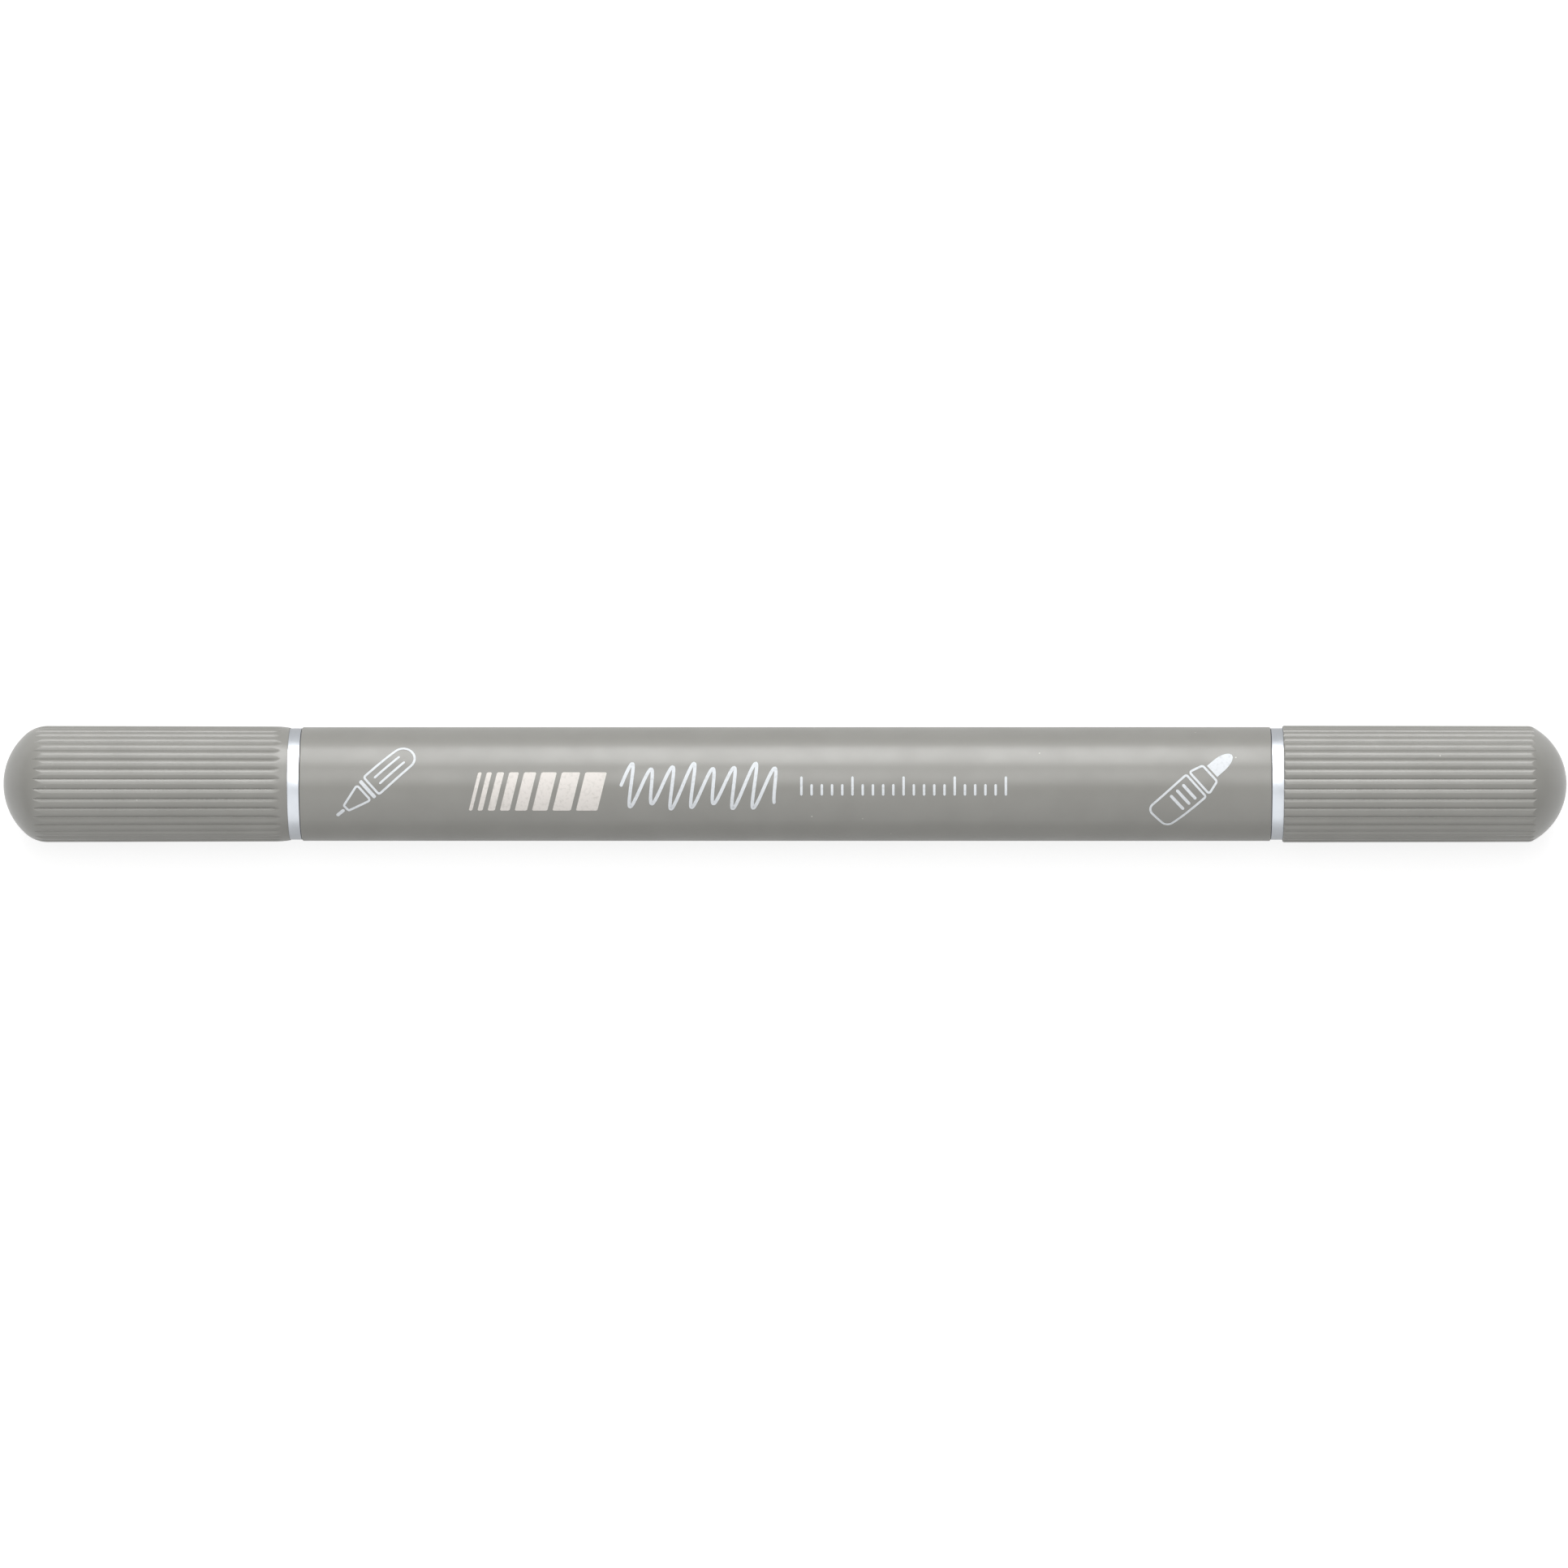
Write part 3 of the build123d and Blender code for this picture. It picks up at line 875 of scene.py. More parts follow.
@dataclass
class Barrel:
    """The plain tube with its guide ribs, the two silver rings and what lies hidden in the tube."""

    fits: Fits
    finishes: Finishes
    edge: float = 0.12
    ring_edge: float = 0.02
    ring_sink: float = 0.03
    ring_gap: float = 0.05
    ring_fit: float = 0.02
    rib_count: int = 4
    rib_width: float = 0.8
    rib_first: float = math.radians(45)

    def tube(self) -> None:
        """The tube. Its bore steps in to the ribs' radius, and goes back out between the ribs."""
        fits = self.fits
        start, end = End.FINE.face_x, End.BROAD.face_x
        inset = fits.plug_length + fits.rib_end_gap
        corners = [
            (0, fits.barrel, 0),
            (end, fits.barrel, self.edge),
            (end, fits.plug, 0),
            (end - inset, fits.plug, 0),
            (end - inset, fits.pocket, 0),
            (start + inset, fits.pocket, 0),
            (start + inset, fits.plug, 0),
            (start, fits.plug, 0),
            (start, fits.barrel, self.edge),
        ]
        outline = rounded(corners, closed=True)
        ribs = Around(self.rib_count, self.rib_width, fits.plug, self.rib_first)
        rule = ribs.rule(np.maximum, fits.plug)
        mesh = turned_mesh("barrel_shell", outline, in_frame, True, ribs.columns(), rule)
        show(mesh, "barrel", self.finishes.barrel, ["barrel_tube"])

    def ring(self, end: End) -> None:
        """One trim ring: a flat band with crisp edges, a hair below the barrel's surface and off its end.

        Args:
            end: the end of the barrel that it sits at.
        """
        node = f"{end.label}_trim_ring"
        start, stop = end.span(node)
        start, edge = start + self.ring_gap, self.ring_edge
        outer, bore = node_radius(node) - self.ring_sink, self.fits.plug + self.ring_fit
        rim = [(stop, outer, edge), (stop, bore, 0), (start, bore, 0), (start, outer, edge)]
        outline = rounded([((start + stop) / 2, outer, 0), *rim], closed=True)
        mesh = turned_mesh(f"{end.label}_silver_ring", outline, end.place, True)
        show(mesh, "barrel", self.finishes.ring, [node])

    def build(self) -> None:
        """Builds the tube and both rings, and dresses what is hidden."""
        self.tube()
        for end in End:
            self.ring(end)
        dress_node("ink_reservoir", self.finishes.bundle)
        dress_node("reservoir_film", self.finishes.film)
        dress_node("fine_wick", self.finishes.wick)


# ---------------------------------------------------------------- sections and nibs


@dataclass
class Section:
    """The white piece that a cap goes on: plug, seat with its snap bead, grip, sealing land and nose."""

    end: End
    fits: Fits
    finishes: Finishes
    land_step: float
    nose_step: float
    nose_length: float
    mouth_wall: float
    bore: float
    wick_bore: float
    seat_length: float = 5.6
    bead_fit: float = 0.02
    chamfer: float = 0.3
    chamber_step: float = 0.65
    chamber_length: float = 3.5
    easing: float = 0.12
    mouth_rounding: float = 0.04
    vents: Around | None = None
    vent_depth: float = 0.3

    @property
    def land(self) -> float:
        """Radius of the sealing land."""
        return self.fits.grip - self.land_step

    @property
    def nose_start(self) -> float:
        """Station where the land steps down to the nose."""
        return self.end.span(f"{self.end.label}_section")[1] - self.nose_length

    def inside(self, mouth: float) -> list[Corner]:
        """Corners of the bore and the air chamber, from the mouth to the reservoir pocket.

        The chamber's wall runs straight from the bore at chamber_length to the pocket's floor, and a
        wick's wider bore starts where that wall has its radius.

        Args:
            mouth: station of the nose's open end.

        Returns:
            The corners.
        """
        fits = self.fits
        floor = -fits.reservoir_stop
        chamber = fits.pocket - self.chamber_step
        corners = [(mouth, self.bore, self.mouth_rounding)]
        if self.wick_bore > self.bore:
            seat = self.end.span("fine_nib_sleeve")[0]
            share = (self.wick_bore - self.bore) / (chamber - self.bore)
            met = self.chamber_length + share * (floor - self.chamber_length)
            corners += [(seat, self.bore, 0), (seat, self.wick_bore, 0), (met, self.wick_bore, 0)]
        else:
            corners += [(self.chamber_length, self.bore, 0)]
        return corners + [(floor, chamber, 0), (floor, fits.pocket, 0)]

    def outline(self) -> np.ndarray:
        """Closed outline: out along the plug, seat and nose, then back through the bore.

        Returns:
            Array of (station, radius) points.
        """
        fits, ease = self.fits, self.easing
        mouth = self.nose_start + self.nose_length
        seat_end = fits.ring_length + self.seat_length
        land_start = self.nose_start - fits.land_length
        plug = [[-fits.plug_length, fits.pocket], [-fits.plug_length, fits.plug]]
        plug += [[fits.ring_length, fits.plug], [fits.ring_length, fits.seat]]
        crest = fits.cap_bore - self.bead_fit - fits.seat
        bead = bulge(fits.bead_station, fits.bead_width, crest, fits.seat)
        nose = rounded(
            [
                (fits.bead_station + fits.bead_width / 2, fits.seat, 0),
                (seat_end - self.chamfer, fits.seat, ease),
                (seat_end, fits.grip, ease),
                (land_start - self.chamfer, (self.land + fits.grip) / 2, ease),
                (land_start, self.land, ease),
                (self.nose_start, self.land, ease),
                (self.nose_start, self.land - self.nose_step, ease),
                (mouth, self.bore + self.mouth_wall, ease),
                *self.inside(mouth),
                (-fits.plug_length, fits.pocket, 0),
            ]
        )
        return np.concatenate([plug, bead, nose[1:-1]])

    def build(self) -> None:
        """Builds the section. Where it has vents, they widen its bore by the vents' depth."""
        columns, rule = None, None
        if self.vents:
            columns = self.vents.columns()
            rule = self.vents.rule(np.maximum, self.bore + self.vent_depth, between=False)
        name = f"{self.end.label}_section"
        mesh = turned_mesh(f"{name}_shell", self.outline(), self.end.place, True, columns, rule)
        show(mesh, "barrel", self.finishes.section, [name])


@dataclass
class FinePoint:
    """The fine plastic-fibre point in its crimped steel sleeve."""

    finishes: Finishes
    sleeve_radius: float = 0.75
    sleeve_wall: float = 0.25
    crimp: float = 0.15
    tip: float = 0.225
    tip_rounding: float = 0.95
    fit: float = 0.01

    def sleeve(self) -> None:
        """The sleeve: a thin tube whose open end is rolled in."""
        start, stop = End.FINE.span("fine_nib_sleeve")
        bore = self.sleeve_radius - self.sleeve_wall
        corners = [
            (start, bore, 0),
            (start, self.sleeve_radius, 0),
            (stop - 2 * self.crimp, self.sleeve_radius, 2 * self.crimp),
            (stop, self.sleeve_radius - self.crimp, self.crimp / 3),
            (stop, bore, 0),
        ]
        mesh = turned_mesh("steel_sleeve", rounded(corners, closed=True), End.FINE.place, True)
        show(mesh, "barrel", self.finishes.sleeve, ["fine_nib_sleeve"])

    def point(self) -> None:
        """The point: a rod in the sleeve with a rounded cone outside it."""
        start, stop = End.FINE.span("fine_nib")
        sleeve_end = End.FINE.span("fine_nib_sleeve")[1]
        radius = self.sleeve_radius - self.sleeve_wall - self.fit
        cone = [(sleeve_end, radius, self.crimp), (stop, self.tip, self.tip * self.tip_rounding)]
        outline = rounded([(start, 0, 0), (start, radius, 0), *cone, (stop, 0, 0)], steps=10)
        mesh = turned_mesh("fibre_point", outline, End.FINE.place, False)
        show(mesh, "barrel", self.finishes.point, ["fine_nib"])

    def build(self) -> None:
        """Builds the sleeve and the point."""
        self.sleeve()
        self.point()


@dataclass
class FeltNib:
    """The broad felt nib: a rod that narrows in one smooth curve to a small round tip."""

    finishes: Finishes
    radius: float = 1.8
    tip: float = 0.4
    reach: float = 7.0
    shank: float = 1.0
    tail_chamfer: float = 0.5
    fuzz: float = 0.014
    strands: tuple[tuple[float, float, float, float], ...] = (
        (1.0, 41, 2.1, 0.0),
        (0.7, 67, -3.7, 1.3),
        (0.5, 23, 9.3, 0.0),
    )
    rod_rows: int = 70
    curve_rows: int = 60
    ball_rows: int = 10

    def felted(self, stations: np.ndarray, radii: np.ndarray, angles: np.ndarray) -> np.ndarray:
        """Radii under the felt's strands: waves round the rod that drift along it, only inwards.

        A strand (w, n, k, p) is the wave w sin(n a + k s + p) at angle a and station s.

        Args:
            stations: the points' stations.
            radii: the smooth rod's radii.
            angles: the columns' angles.

        Returns:
            The felted radii.
        """
        waves = sum(w * np.sin(n * angles + k * stations + p) for w, n, k, p in self.strands)
        highest = sum(strand[0] for strand in self.strands)
        return radii - self.fuzz * (1 - waves / highest) * np.clip(radii / self.radius, 0, 1)

    def build(self) -> None:
        """Builds the nib. Its curve is an arc that is tangent to the shank, and a ball ends it."""
        back, front = End.BROAD.span("broad_nib")
        curve_start, curve_end = front - self.reach + self.shank, front - self.tip
        length, drop = curve_end - curve_start, self.radius - self.tip
        arc = (length**2 + drop**2) / (2 * drop)
        along = np.linspace(0, length, self.curve_rows)
        curve = np.stack([curve_start + along, self.radius - arc + np.sqrt(arc**2 - along**2)], axis=-1)
        turn = np.linspace(0, math.pi / 2, self.ball_rows)[1:]
        ball = np.stack([curve_end + self.tip * np.sin(turn), self.tip * np.cos(turn)], axis=-1)
        rod_stations = np.linspace(back + self.tail_chamfer, curve_start, self.rod_rows)[:-1]
        rod = np.stack([rod_stations, np.full_like(rod_stations, self.radius)], axis=-1)
        tail = np.array([[back, 0], [back, self.radius - self.tail_chamfer]])
        outline = np.concatenate([tail, rod, curve, ball])
        outline[-1, 1] = 0
        mesh = turned_mesh("felt_nib", outline, End.BROAD.place, False, rule=self.felted)
        show(mesh, "barrel", self.finishes.felt, ["broad_nib"])


# ---------------------------------------------------------------- caps


class Mouth(Enum):
    """How a cap's reeds meet its mouth."""

    FADED = "they fade into a smooth collar that draws in to the ring"
    OPEN = "they run out through a mouth with a rounded edge"


@dataclass
class Cap:
    """A reeded snap cap with a domed end, as one closed shell, and the sealing liner inside it.

    A reed is an arc of radius a whose centre lies c from the axis, so at an angle t from its crest it
    reaches c cos t + sqrt(a^2 - c^2 sin^2 t). The turned surface cuts the reeds off. The line where a
    reed meets the dome is found for each column and is a row of the mesh, so the reeds end in clean
    points.
    """

    end: End
    fits: Fits
    finishes: Finishes
    mouth_style: Mouth
    mouth_proud: float
    dome_proud: float
    dome_depth: float
    shoulder: float
    land: float
    nose_start: float
    reeds: int = 35
    reed_depth: float = 0.2
    reed_land: float = 0.005
    reed_steps: int = 14
    groove_depth: float = 0.12
    groove_spare: float = 0.1
    lead_in: float = 0.15
    fade_start: float = 1.6
    fade_end: float = 0.35
    ease_length: float = 1.5
    ease_depth: float = 0.12
    mouth_edge: float = 0.2
    liner_wall: float = 0.7
    liner_lead_in: float = 0.2
    liner_crown_gap: float = 0.6
    liner_setback: float = 0.3
    fin_count: int = 6
    fin_width: float = 0.8
    fin_setback: float = 1.0
    crease_limit: float = 0.7
    crease_halvings: int = 22
    crown_rows: int = 40
    crown_crowding: float = 1.5
    run_out_rows: int = 9
    long_rows: int = 6
    close_rows: int = 22
    edge_rows: int = 8
    dome: Dome = field(init=False)
    mouth: float = field(init=False)

    def __post_init__(self) -> None:
        """Takes the cap's place from its CAD node."""
        self.mouth, apex = self.end.span(self.shell_node)
        self.dome = Dome(apex, self.fits.barrel + self.dome_proud, self.dome_depth, self.shoulder)

    @property
    def shell_node(self) -> str:
        """The CAD node of the cap's shell."""
        return f"{self.end.label}_cap_shell"

    @property
    def body(self) -> str:
        """The CAD body that the cap is."""
        return f"{self.end.label}_cap"

    @property
    def hollow(self) -> Dome:
        """The dome inside the shell."""
        return self.dome.inset(self.fits.crown_wall, self.dome.radius - self.fits.cap_bore)

    def side(self, stations: np.ndarray) -> np.ndarray:
        """Radius of the turned surface, which tapers straight from the mouth to the dome and on.

        Args:
            stations: array of stations.

        Returns:
            Array of radii.
        """
        wide = self.fits.barrel + self.mouth_proud
        share = (stations - self.mouth) / (self.dome.start - self.mouth)
        return wide + share * (self.dome.radius - wide)

    def reed_arc(self) -> tuple[float, float, float]:
        """The arc of one reed, through two valleys and the crest between them.

        Returns:
            The arc's radius, its centre's distance from the axis and half the width of a reed.
        """
        crest = self.dome.radius + self.reed_land
        valley = crest - self.reed_depth
        half_width = valley * math.sin(math.pi / self.reeds)
        height = crest - valley * math.cos(math.pi / self.reeds)
        radius = (half_width**2 + height**2) / (2 * height)
        return radius, crest - radius, half_width

    def columns(self) -> np.ndarray:
        """Angles of the columns: even steps along each reed's arc, so that a column lies in each valley.

        Returns:
            The columns' angles.
        """
        radius, centre, half_width = self.reed_arc()
        widest = math.asin(half_width / radius)
        turn = np.linspace(-widest, widest, self.reed_steps + 1)[:-1]
        offsets = np.arctan2(radius * np.sin(turn), centre + radius * np.cos(turn))
        crests = np.arange(self.reeds) * 2 * math.pi / self.reeds
        return (crests[:, None] + offsets).reshape(-1)

    def reed_radius(self, stations: np.ndarray, angles: np.ndarray) -> np.ndarray:
        """Radius of the reeds, which follow the side's taper and may fade out before the mouth.

        Args:
            stations: array of stations.
            angles: the columns' angles.

        Returns:
            Array of radii.
        """
        radius, centre, _ = self.reed_arc()
        pitch = 2 * math.pi / self.reeds
        off_crest = (angles + pitch / 2) % pitch - pitch / 2
        shape = centre * np.cos(off_crest) + np.sqrt(radius**2 - (centre * np.sin(off_crest)) ** 2)
        side = self.side(stations)
        reeded = side + self.reed_land + shape - (centre + radius)
        if self.mouth_style is Mouth.OPEN:
            return reeded
        fade = (self.mouth + self.fade_start - stations) / (self.fade_start - self.fade_end)
        share = np.clip(fade, 0, 1)
        return reeded + share**2 * (3 - 2 * share) * np.maximum(side - reeded, 0)

    def mouth_drop(self, stations: np.ndarray) -> np.ndarray:
        """How far the turned surface falls towards the mouth: in a long ease or a quarter-round.

        Args:
            stations: array of stations.

        Returns:
            Array of falls.
        """
        into = stations - self.mouth
        if self.mouth_style is Mouth.FADED:
            return self.ease_depth * np.clip(1 - into / self.ease_length, 0, 1) ** 2
        return self.mouth_edge * (1 - np.sqrt(1 - np.clip(1 - into / self.mouth_edge, 0, 1) ** 2))

    def crease(self, angles: np.ndarray) -> np.ndarray:
        """Share of the dome's outline at which each column's reed ends, found by halving a range.

        Args:
            angles: the columns' angles.

        Returns:
            Array of shares, one for each column.
        """
        low, high = np.zeros_like(angles), np.full_like(angles, self.crease_limit)
        for _ in range(self.crease_halvings):
            middle = (low + high) / 2
            on_dome = self.dome.at(middle)
            under = self.reed_radius(on_dome[:, 0], angles) < on_dome[:, 1]
            low, high = np.where(under, middle, low), np.where(under, high, middle)
        return (low + high) / 2

    def outside(self, angles: np.ndarray) -> np.ndarray:
        """The outer surface in rows from the apex to the mouth.

        Args:
            angles: the columns' angles.

        Returns:
            Array of shape (rows, columns, 2) of (station, radius) points.
        """
        ends = self.crease(angles)
        up_crown = np.linspace(1, 0, self.crown_rows)[:, None] ** self.crown_crowding
        crown = self.dome.at(ends + (1 - ends) * up_crown)
        run_out = self.dome.at(ends * np.linspace(1, 0, self.run_out_rows)[1:, None])
        run_out[..., 1] = np.minimum(run_out[..., 1], self.reed_radius(run_out[..., 0], angles))
        last_stretch = self.mouth + self.fade_start + self.ease_length
        far = np.linspace(self.dome.start, last_stretch, self.long_rows)[1:-1]
        close = np.linspace(last_stretch, self.mouth + 2 * self.mouth_edge, self.close_rows)
        edge = self.mouth + self.mouth_edge * (1 - np.sin(np.linspace(0, math.pi / 2, self.edge_rows)))
        stations = np.concatenate([far, close, edge])[:, None]
        turned = self.side(stations) - self.mouth_drop(stations)
        radii = np.minimum(turned, self.reed_radius(stations, angles))
        straight = np.stack([np.broadcast_to(stations, radii.shape), radii], axis=-1)
        return np.concatenate([crown, run_out, straight])

    def inside(self) -> np.ndarray:
        """Outline of the shell's hollow, from the mouth's lead-in past the snap groove to the apex.

        Returns:
            Array of (station, radius) points.
        """
        fits = self.fits
        lip = [[self.mouth, fits.cap_bore + self.lead_in], [self.mouth + self.lead_in, fits.cap_bore]]
        width = fits.bead_width + 2 * self.groove_spare
        groove = bulge(fits.bead_station, width, self.groove_depth, fits.cap_bore)
        return np.concatenate([lip, groove, self.hollow.outline(HOLLOW_STEPS)])

    def shell(self) -> None:
        """The shell: outside and hollow are one grid, from apex to apex."""
        angles = self.columns()
        hollow = np.repeat(self.inside()[:, None], len(angles), axis=1)
        outline = np.concatenate([self.outside(angles), hollow])
        points = self.end.place(swept(outline, angles).reshape(-1, 3))
        faces = grid_faces(len(outline), len(angles), False, True)
        mesh = closed_mesh(f"{self.end.label}_reeded_cap", points, faces)
        show(mesh, self.body, self.finishes.cap, [self.shell_node])

    def liner(self) -> None:
        """The liner: a domed cup whose outside steps out to the shell's bore at its fins."""
        bore = self.land + self.fits.seal_fit
        outer = bore + self.liner_wall
        mouth = self.nose_start - self.fits.land_length + self.liner_setback
        cup = self.hollow.inset(self.liner_crown_gap, self.fits.cap_bore - outer)
        inner = cup.inset(self.liner_wall, self.liner_wall)
        fins = Around(self.fin_count, self.fin_width, self.fits.cap_bore)
        fin_start = mouth + self.fin_setback
        side = [
            [mouth + self.liner_lead_in, bore],
            [mouth, bore + self.liner_lead_in],
            [mouth, outer],
            [fin_start, outer],
            [fin_start, self.fits.cap_bore],
            [cup.start, self.fits.cap_bore],
        ]
        outline = np.concatenate([inner.outline(HOLLOW_STEPS)[::-1], side, cup.outline(HOLLOW_STEPS)])
        name, rule = f"{self.end.label}_cap_liner", fins.rule(np.minimum, outer)
        mesh = turned_mesh(f"{name}_cup", outline, self.end.place, False, fins.columns(), rule)
        show(mesh, self.body, self.finishes.liner, [name])

    def build(self) -> None:
        """Builds the shell and the liner."""
        self.shell()
        self.liner()


# ---------------------------------------------------------------- print


def walked(path: np.ndarray) -> np.ndarray:
    """Length walked along a path up to each of its points."""
    steps = np.linalg.norm(np.diff(path, axis=0), axis=1)
    return np.concatenate([[0.0], np.cumsum(steps)])


@dataclass(frozen=True)
class Stroke:
    """One printed stroke: a path on the flat, with a width at each of its points.

    The stroke's own two directions are along the path and across it. Across is square to the path, or
    one fixed direction, so that a slanted bar can have level ends.
    """

    path: np.ndarray
    widths: np.ndarray
    across: np.ndarray
    closed: bool = False

    @classmethod
    def drawn(
        cls,
        points: Sequence[Sequence[float]] | np.ndarray,
        width: float,
        closed: bool = False,
        level: bool = False,
        end_radius: float = 0.0,
        spacing: float = 0.08,
    ) -> "Stroke":
        """A stroke of one width along a path.

        Args:
            points: the path's corner points.
            width: the stroke's width.
            closed: True joins the end to the start.
            level: True cuts the stroke across in the first direction of the flat.
            end_radius: rounding of the corners at both ends.
            spacing: how close together its points are.

        Returns:
            The stroke.
        """
        path = np.asarray(points, float)
        if closed:
            path = np.concatenate([path, path[:1]])
        length = walked(path)
        even = np.linspace(0, length[-1], max(int(length[-1] / spacing), 2) + 1)
        path = np.stack([np.interp(even, length, path[:, axis]) for axis in (0, 1)], axis=-1)
        to_end = np.minimum(even, even[-1] - even)
        if closed:
            path, to_end = path[:-1], np.full(len(path) - 1, math.inf)
            along = np.roll(path, -1, axis=0) - np.roll(path, 1, axis=0)
        else:
            along = np.gradient(path, axis=0)
        along /= np.linalg.norm(along, axis=1, keepdims=True)
        across = np.stack([-along[:, 1], along[:, 0]], axis=-1)
        if level:
            across = np.tile([1.0, 0.0], (len(path), 1))
        short = np.clip(1 - to_end / max(end_radius, MIN_STROKE), 0, 1)
        lost = 2 * end_radius * (1 - np.sqrt(1 - short**2))
        return cls(path, np.maximum(width - lost, MIN_STROKE), across, closed)

    def moved(self, centre: Sequence[float], turn: float) -> "Stroke":
        """The stroke turned about the origin and then moved to a centre."""
        spin = np.array([[math.cos(turn), math.sin(turn)], [-math.sin(turn), math.cos(turn)]])
        return replace(self, path=self.path @ spin + np.array(centre), across=self.across @ spin)

    def grid(self, lanes: int = 5) -> np.ndarray:
        """The stroke as rows of points across it: path + side * width * across, side from -1/2 to 1/2."""
        sides = np.linspace(-0.5, 0.5, lanes)[None, :, None]
        return self.path[:, None] + sides * self.widths[:, None, None] * self.across[:, None]


def outlined(corners: Sequence[Corner], width: float) -> Stroke:
    """A closed line round corners that starts and ends in the middle of a side."""
    return Stroke.drawn(rounded(corners, closed=True), width, closed=True)


@dataclass
class Print:
    """White print on the top of the barrel: a sign of each tip by its end, and marks between them.

    It is drawn flat, as (x, across) in millimetres, and wrapped on: across / radius is the angle from
    the top towards +Y.
    """

    fits: Fits
    finishes: Finishes
    thickness: float = 0.03
    line: float = 0.22
    slope: float = math.radians(42)
    fine_centre: tuple[float, float] = (-40.05, 0.05)
    broad_centre: tuple[float, float] = (40.25, -0.3)

    def fine_sign(self) -> list[Stroke]:
        """A slim pen, pointing along +x: needle, cone, collar and a body with two lines along it.

        Returns:
            The strokes.
        """
        cone = [(2.6, 0.66, 0), (1.35, 1.0, 0.2), (1.35, -1.0, 0.2), (3.7, -0.36, 0.15), (3.7, 0.36, 0.15)]
        body = [(0, 1.12, 0), (-4.9, 1.12, 1.05), (-4.9, -1.12, 1.05), (0.35, -1.12, 0.2), (0.35, 1.12, 0.2)]
        needle = Stroke.drawn([(5.0, 0), (3.95, 0)], 0.34, end_radius=0.17)
        collar = Stroke.drawn([(0.85, -1.12), (0.85, 1.12)], 0.36, end_radius=0.1)
        lines = [Stroke.drawn([(-3.7, v), (-0.35, v)], self.line, end_radius=0.1) for v in (-0.38, 0.38)]
        return [needle, outlined(cone, self.line), collar, outlined(body, self.line), *lines]

    def broad_sign(self) -> list[Stroke]:
        """A stout marker, pointing along +x: filled bullet tip, shoulder and a banded body.

        Returns:
            The strokes.
        """
        bullet_width, bullet_start, bullet_end = 1.5, 3.2, 4.9
        bullet = Stroke.drawn([(2.3, 0), (bullet_end, 0)], bullet_width, spacing=0.06)
        taper = np.clip((bullet.path[:, 0] - bullet_start) / (bullet_end - bullet_start), 0, 1)
        bullet = replace(bullet, widths=np.maximum(bullet_width * np.sqrt(1 - taper**2), MIN_STROKE))
        shoulder = [(1.5, 1.2, 0), (0.6, 1.45, 0.2), (0.6, -1.45, 0.2), (2.0, -1.05, 0.25), (2.0, 1.05, 0.25)]
        body = [(0, 1.45, 0), (-4.9, 1.45, 0.7), (-4.9, -1.45, 0.7), (0.2, -1.45, 0.2), (0.2, 1.45, 0.2)]
        bands = [Stroke.drawn([(u, -1.0), (u, 1.0)], 0.3, end_radius=0.15) for u in (-0.7, -1.5, -2.3)]
        return [bullet, outlined(shoulder, self.line), outlined(body, self.line), *bands]

    def bars(self) -> list[Stroke]:
        """Slanted bars of rising width, as a scale of what the two tips draw.

        Returns:
            The strokes.
        """
        widths = np.array([0.35, 0.5, 0.7, 0.95, 1.2, 1.5, 1.8, 2.1])
        start, gap, low, high, slant = -30.8, 0.5, -2.7, 1.15, 0.25
        middles = start + np.concatenate([[0.0], np.cumsum(widths[:-1] + gap)]) + widths / 2
        lean = slant * (high - low)
        return [
            Stroke.drawn([(x, low), (x + lean, high)], width, level=True, end_radius=0.12)
            for x, width in zip(middles, widths)
        ]

    def scribble(self) -> list[Stroke]:
        """One thin line that leans forwards and swings up and down: across = A(t) sin(pi n t).

        Returns:
            The stroke.
        """
        start, length, middle, height, beat, lean = -15.9, 15.6, -0.27, 2.35, 0.14, 0.28
        half_swings, half_beats, samples = 15.5, 5, 900
        share = np.linspace(0, 1, samples)
        reach = height * (1 - beat + beat * np.cos(half_beats * math.pi * share))
        swing = reach * np.sin(half_swings * math.pi * share)
        x = start + length * share + lean * swing
        return [Stroke.drawn(np.stack([x, swing + middle], axis=-1), 0.33, end_radius=0.16)]

    def ticks(self) -> list[Stroke]:
        """A small scale with a tick each millimetre and a taller one each fifth.

        Returns:
            The strokes.
        """
        start, foot, low, high, count = 1.8, -1.15, 0.0, 0.75, 21
        tops = [low if k % 5 else high for k in range(count)]
        return [
            Stroke.drawn([(start + k, foot), (start + k, top)], 0.24, end_radius=0.1)
            for k, top in enumerate(tops)
        ]

    def wrapped(self, flat: np.ndarray, radius: float) -> np.ndarray:
        """Flat points on a cylinder: (x, r sin a, r cos a), where a is across / the barrel's radius."""
        angle = flat[..., 1] / self.fits.barrel
        return np.stack([flat[..., 0], radius * np.sin(angle), radius * np.cos(angle)], axis=-1)

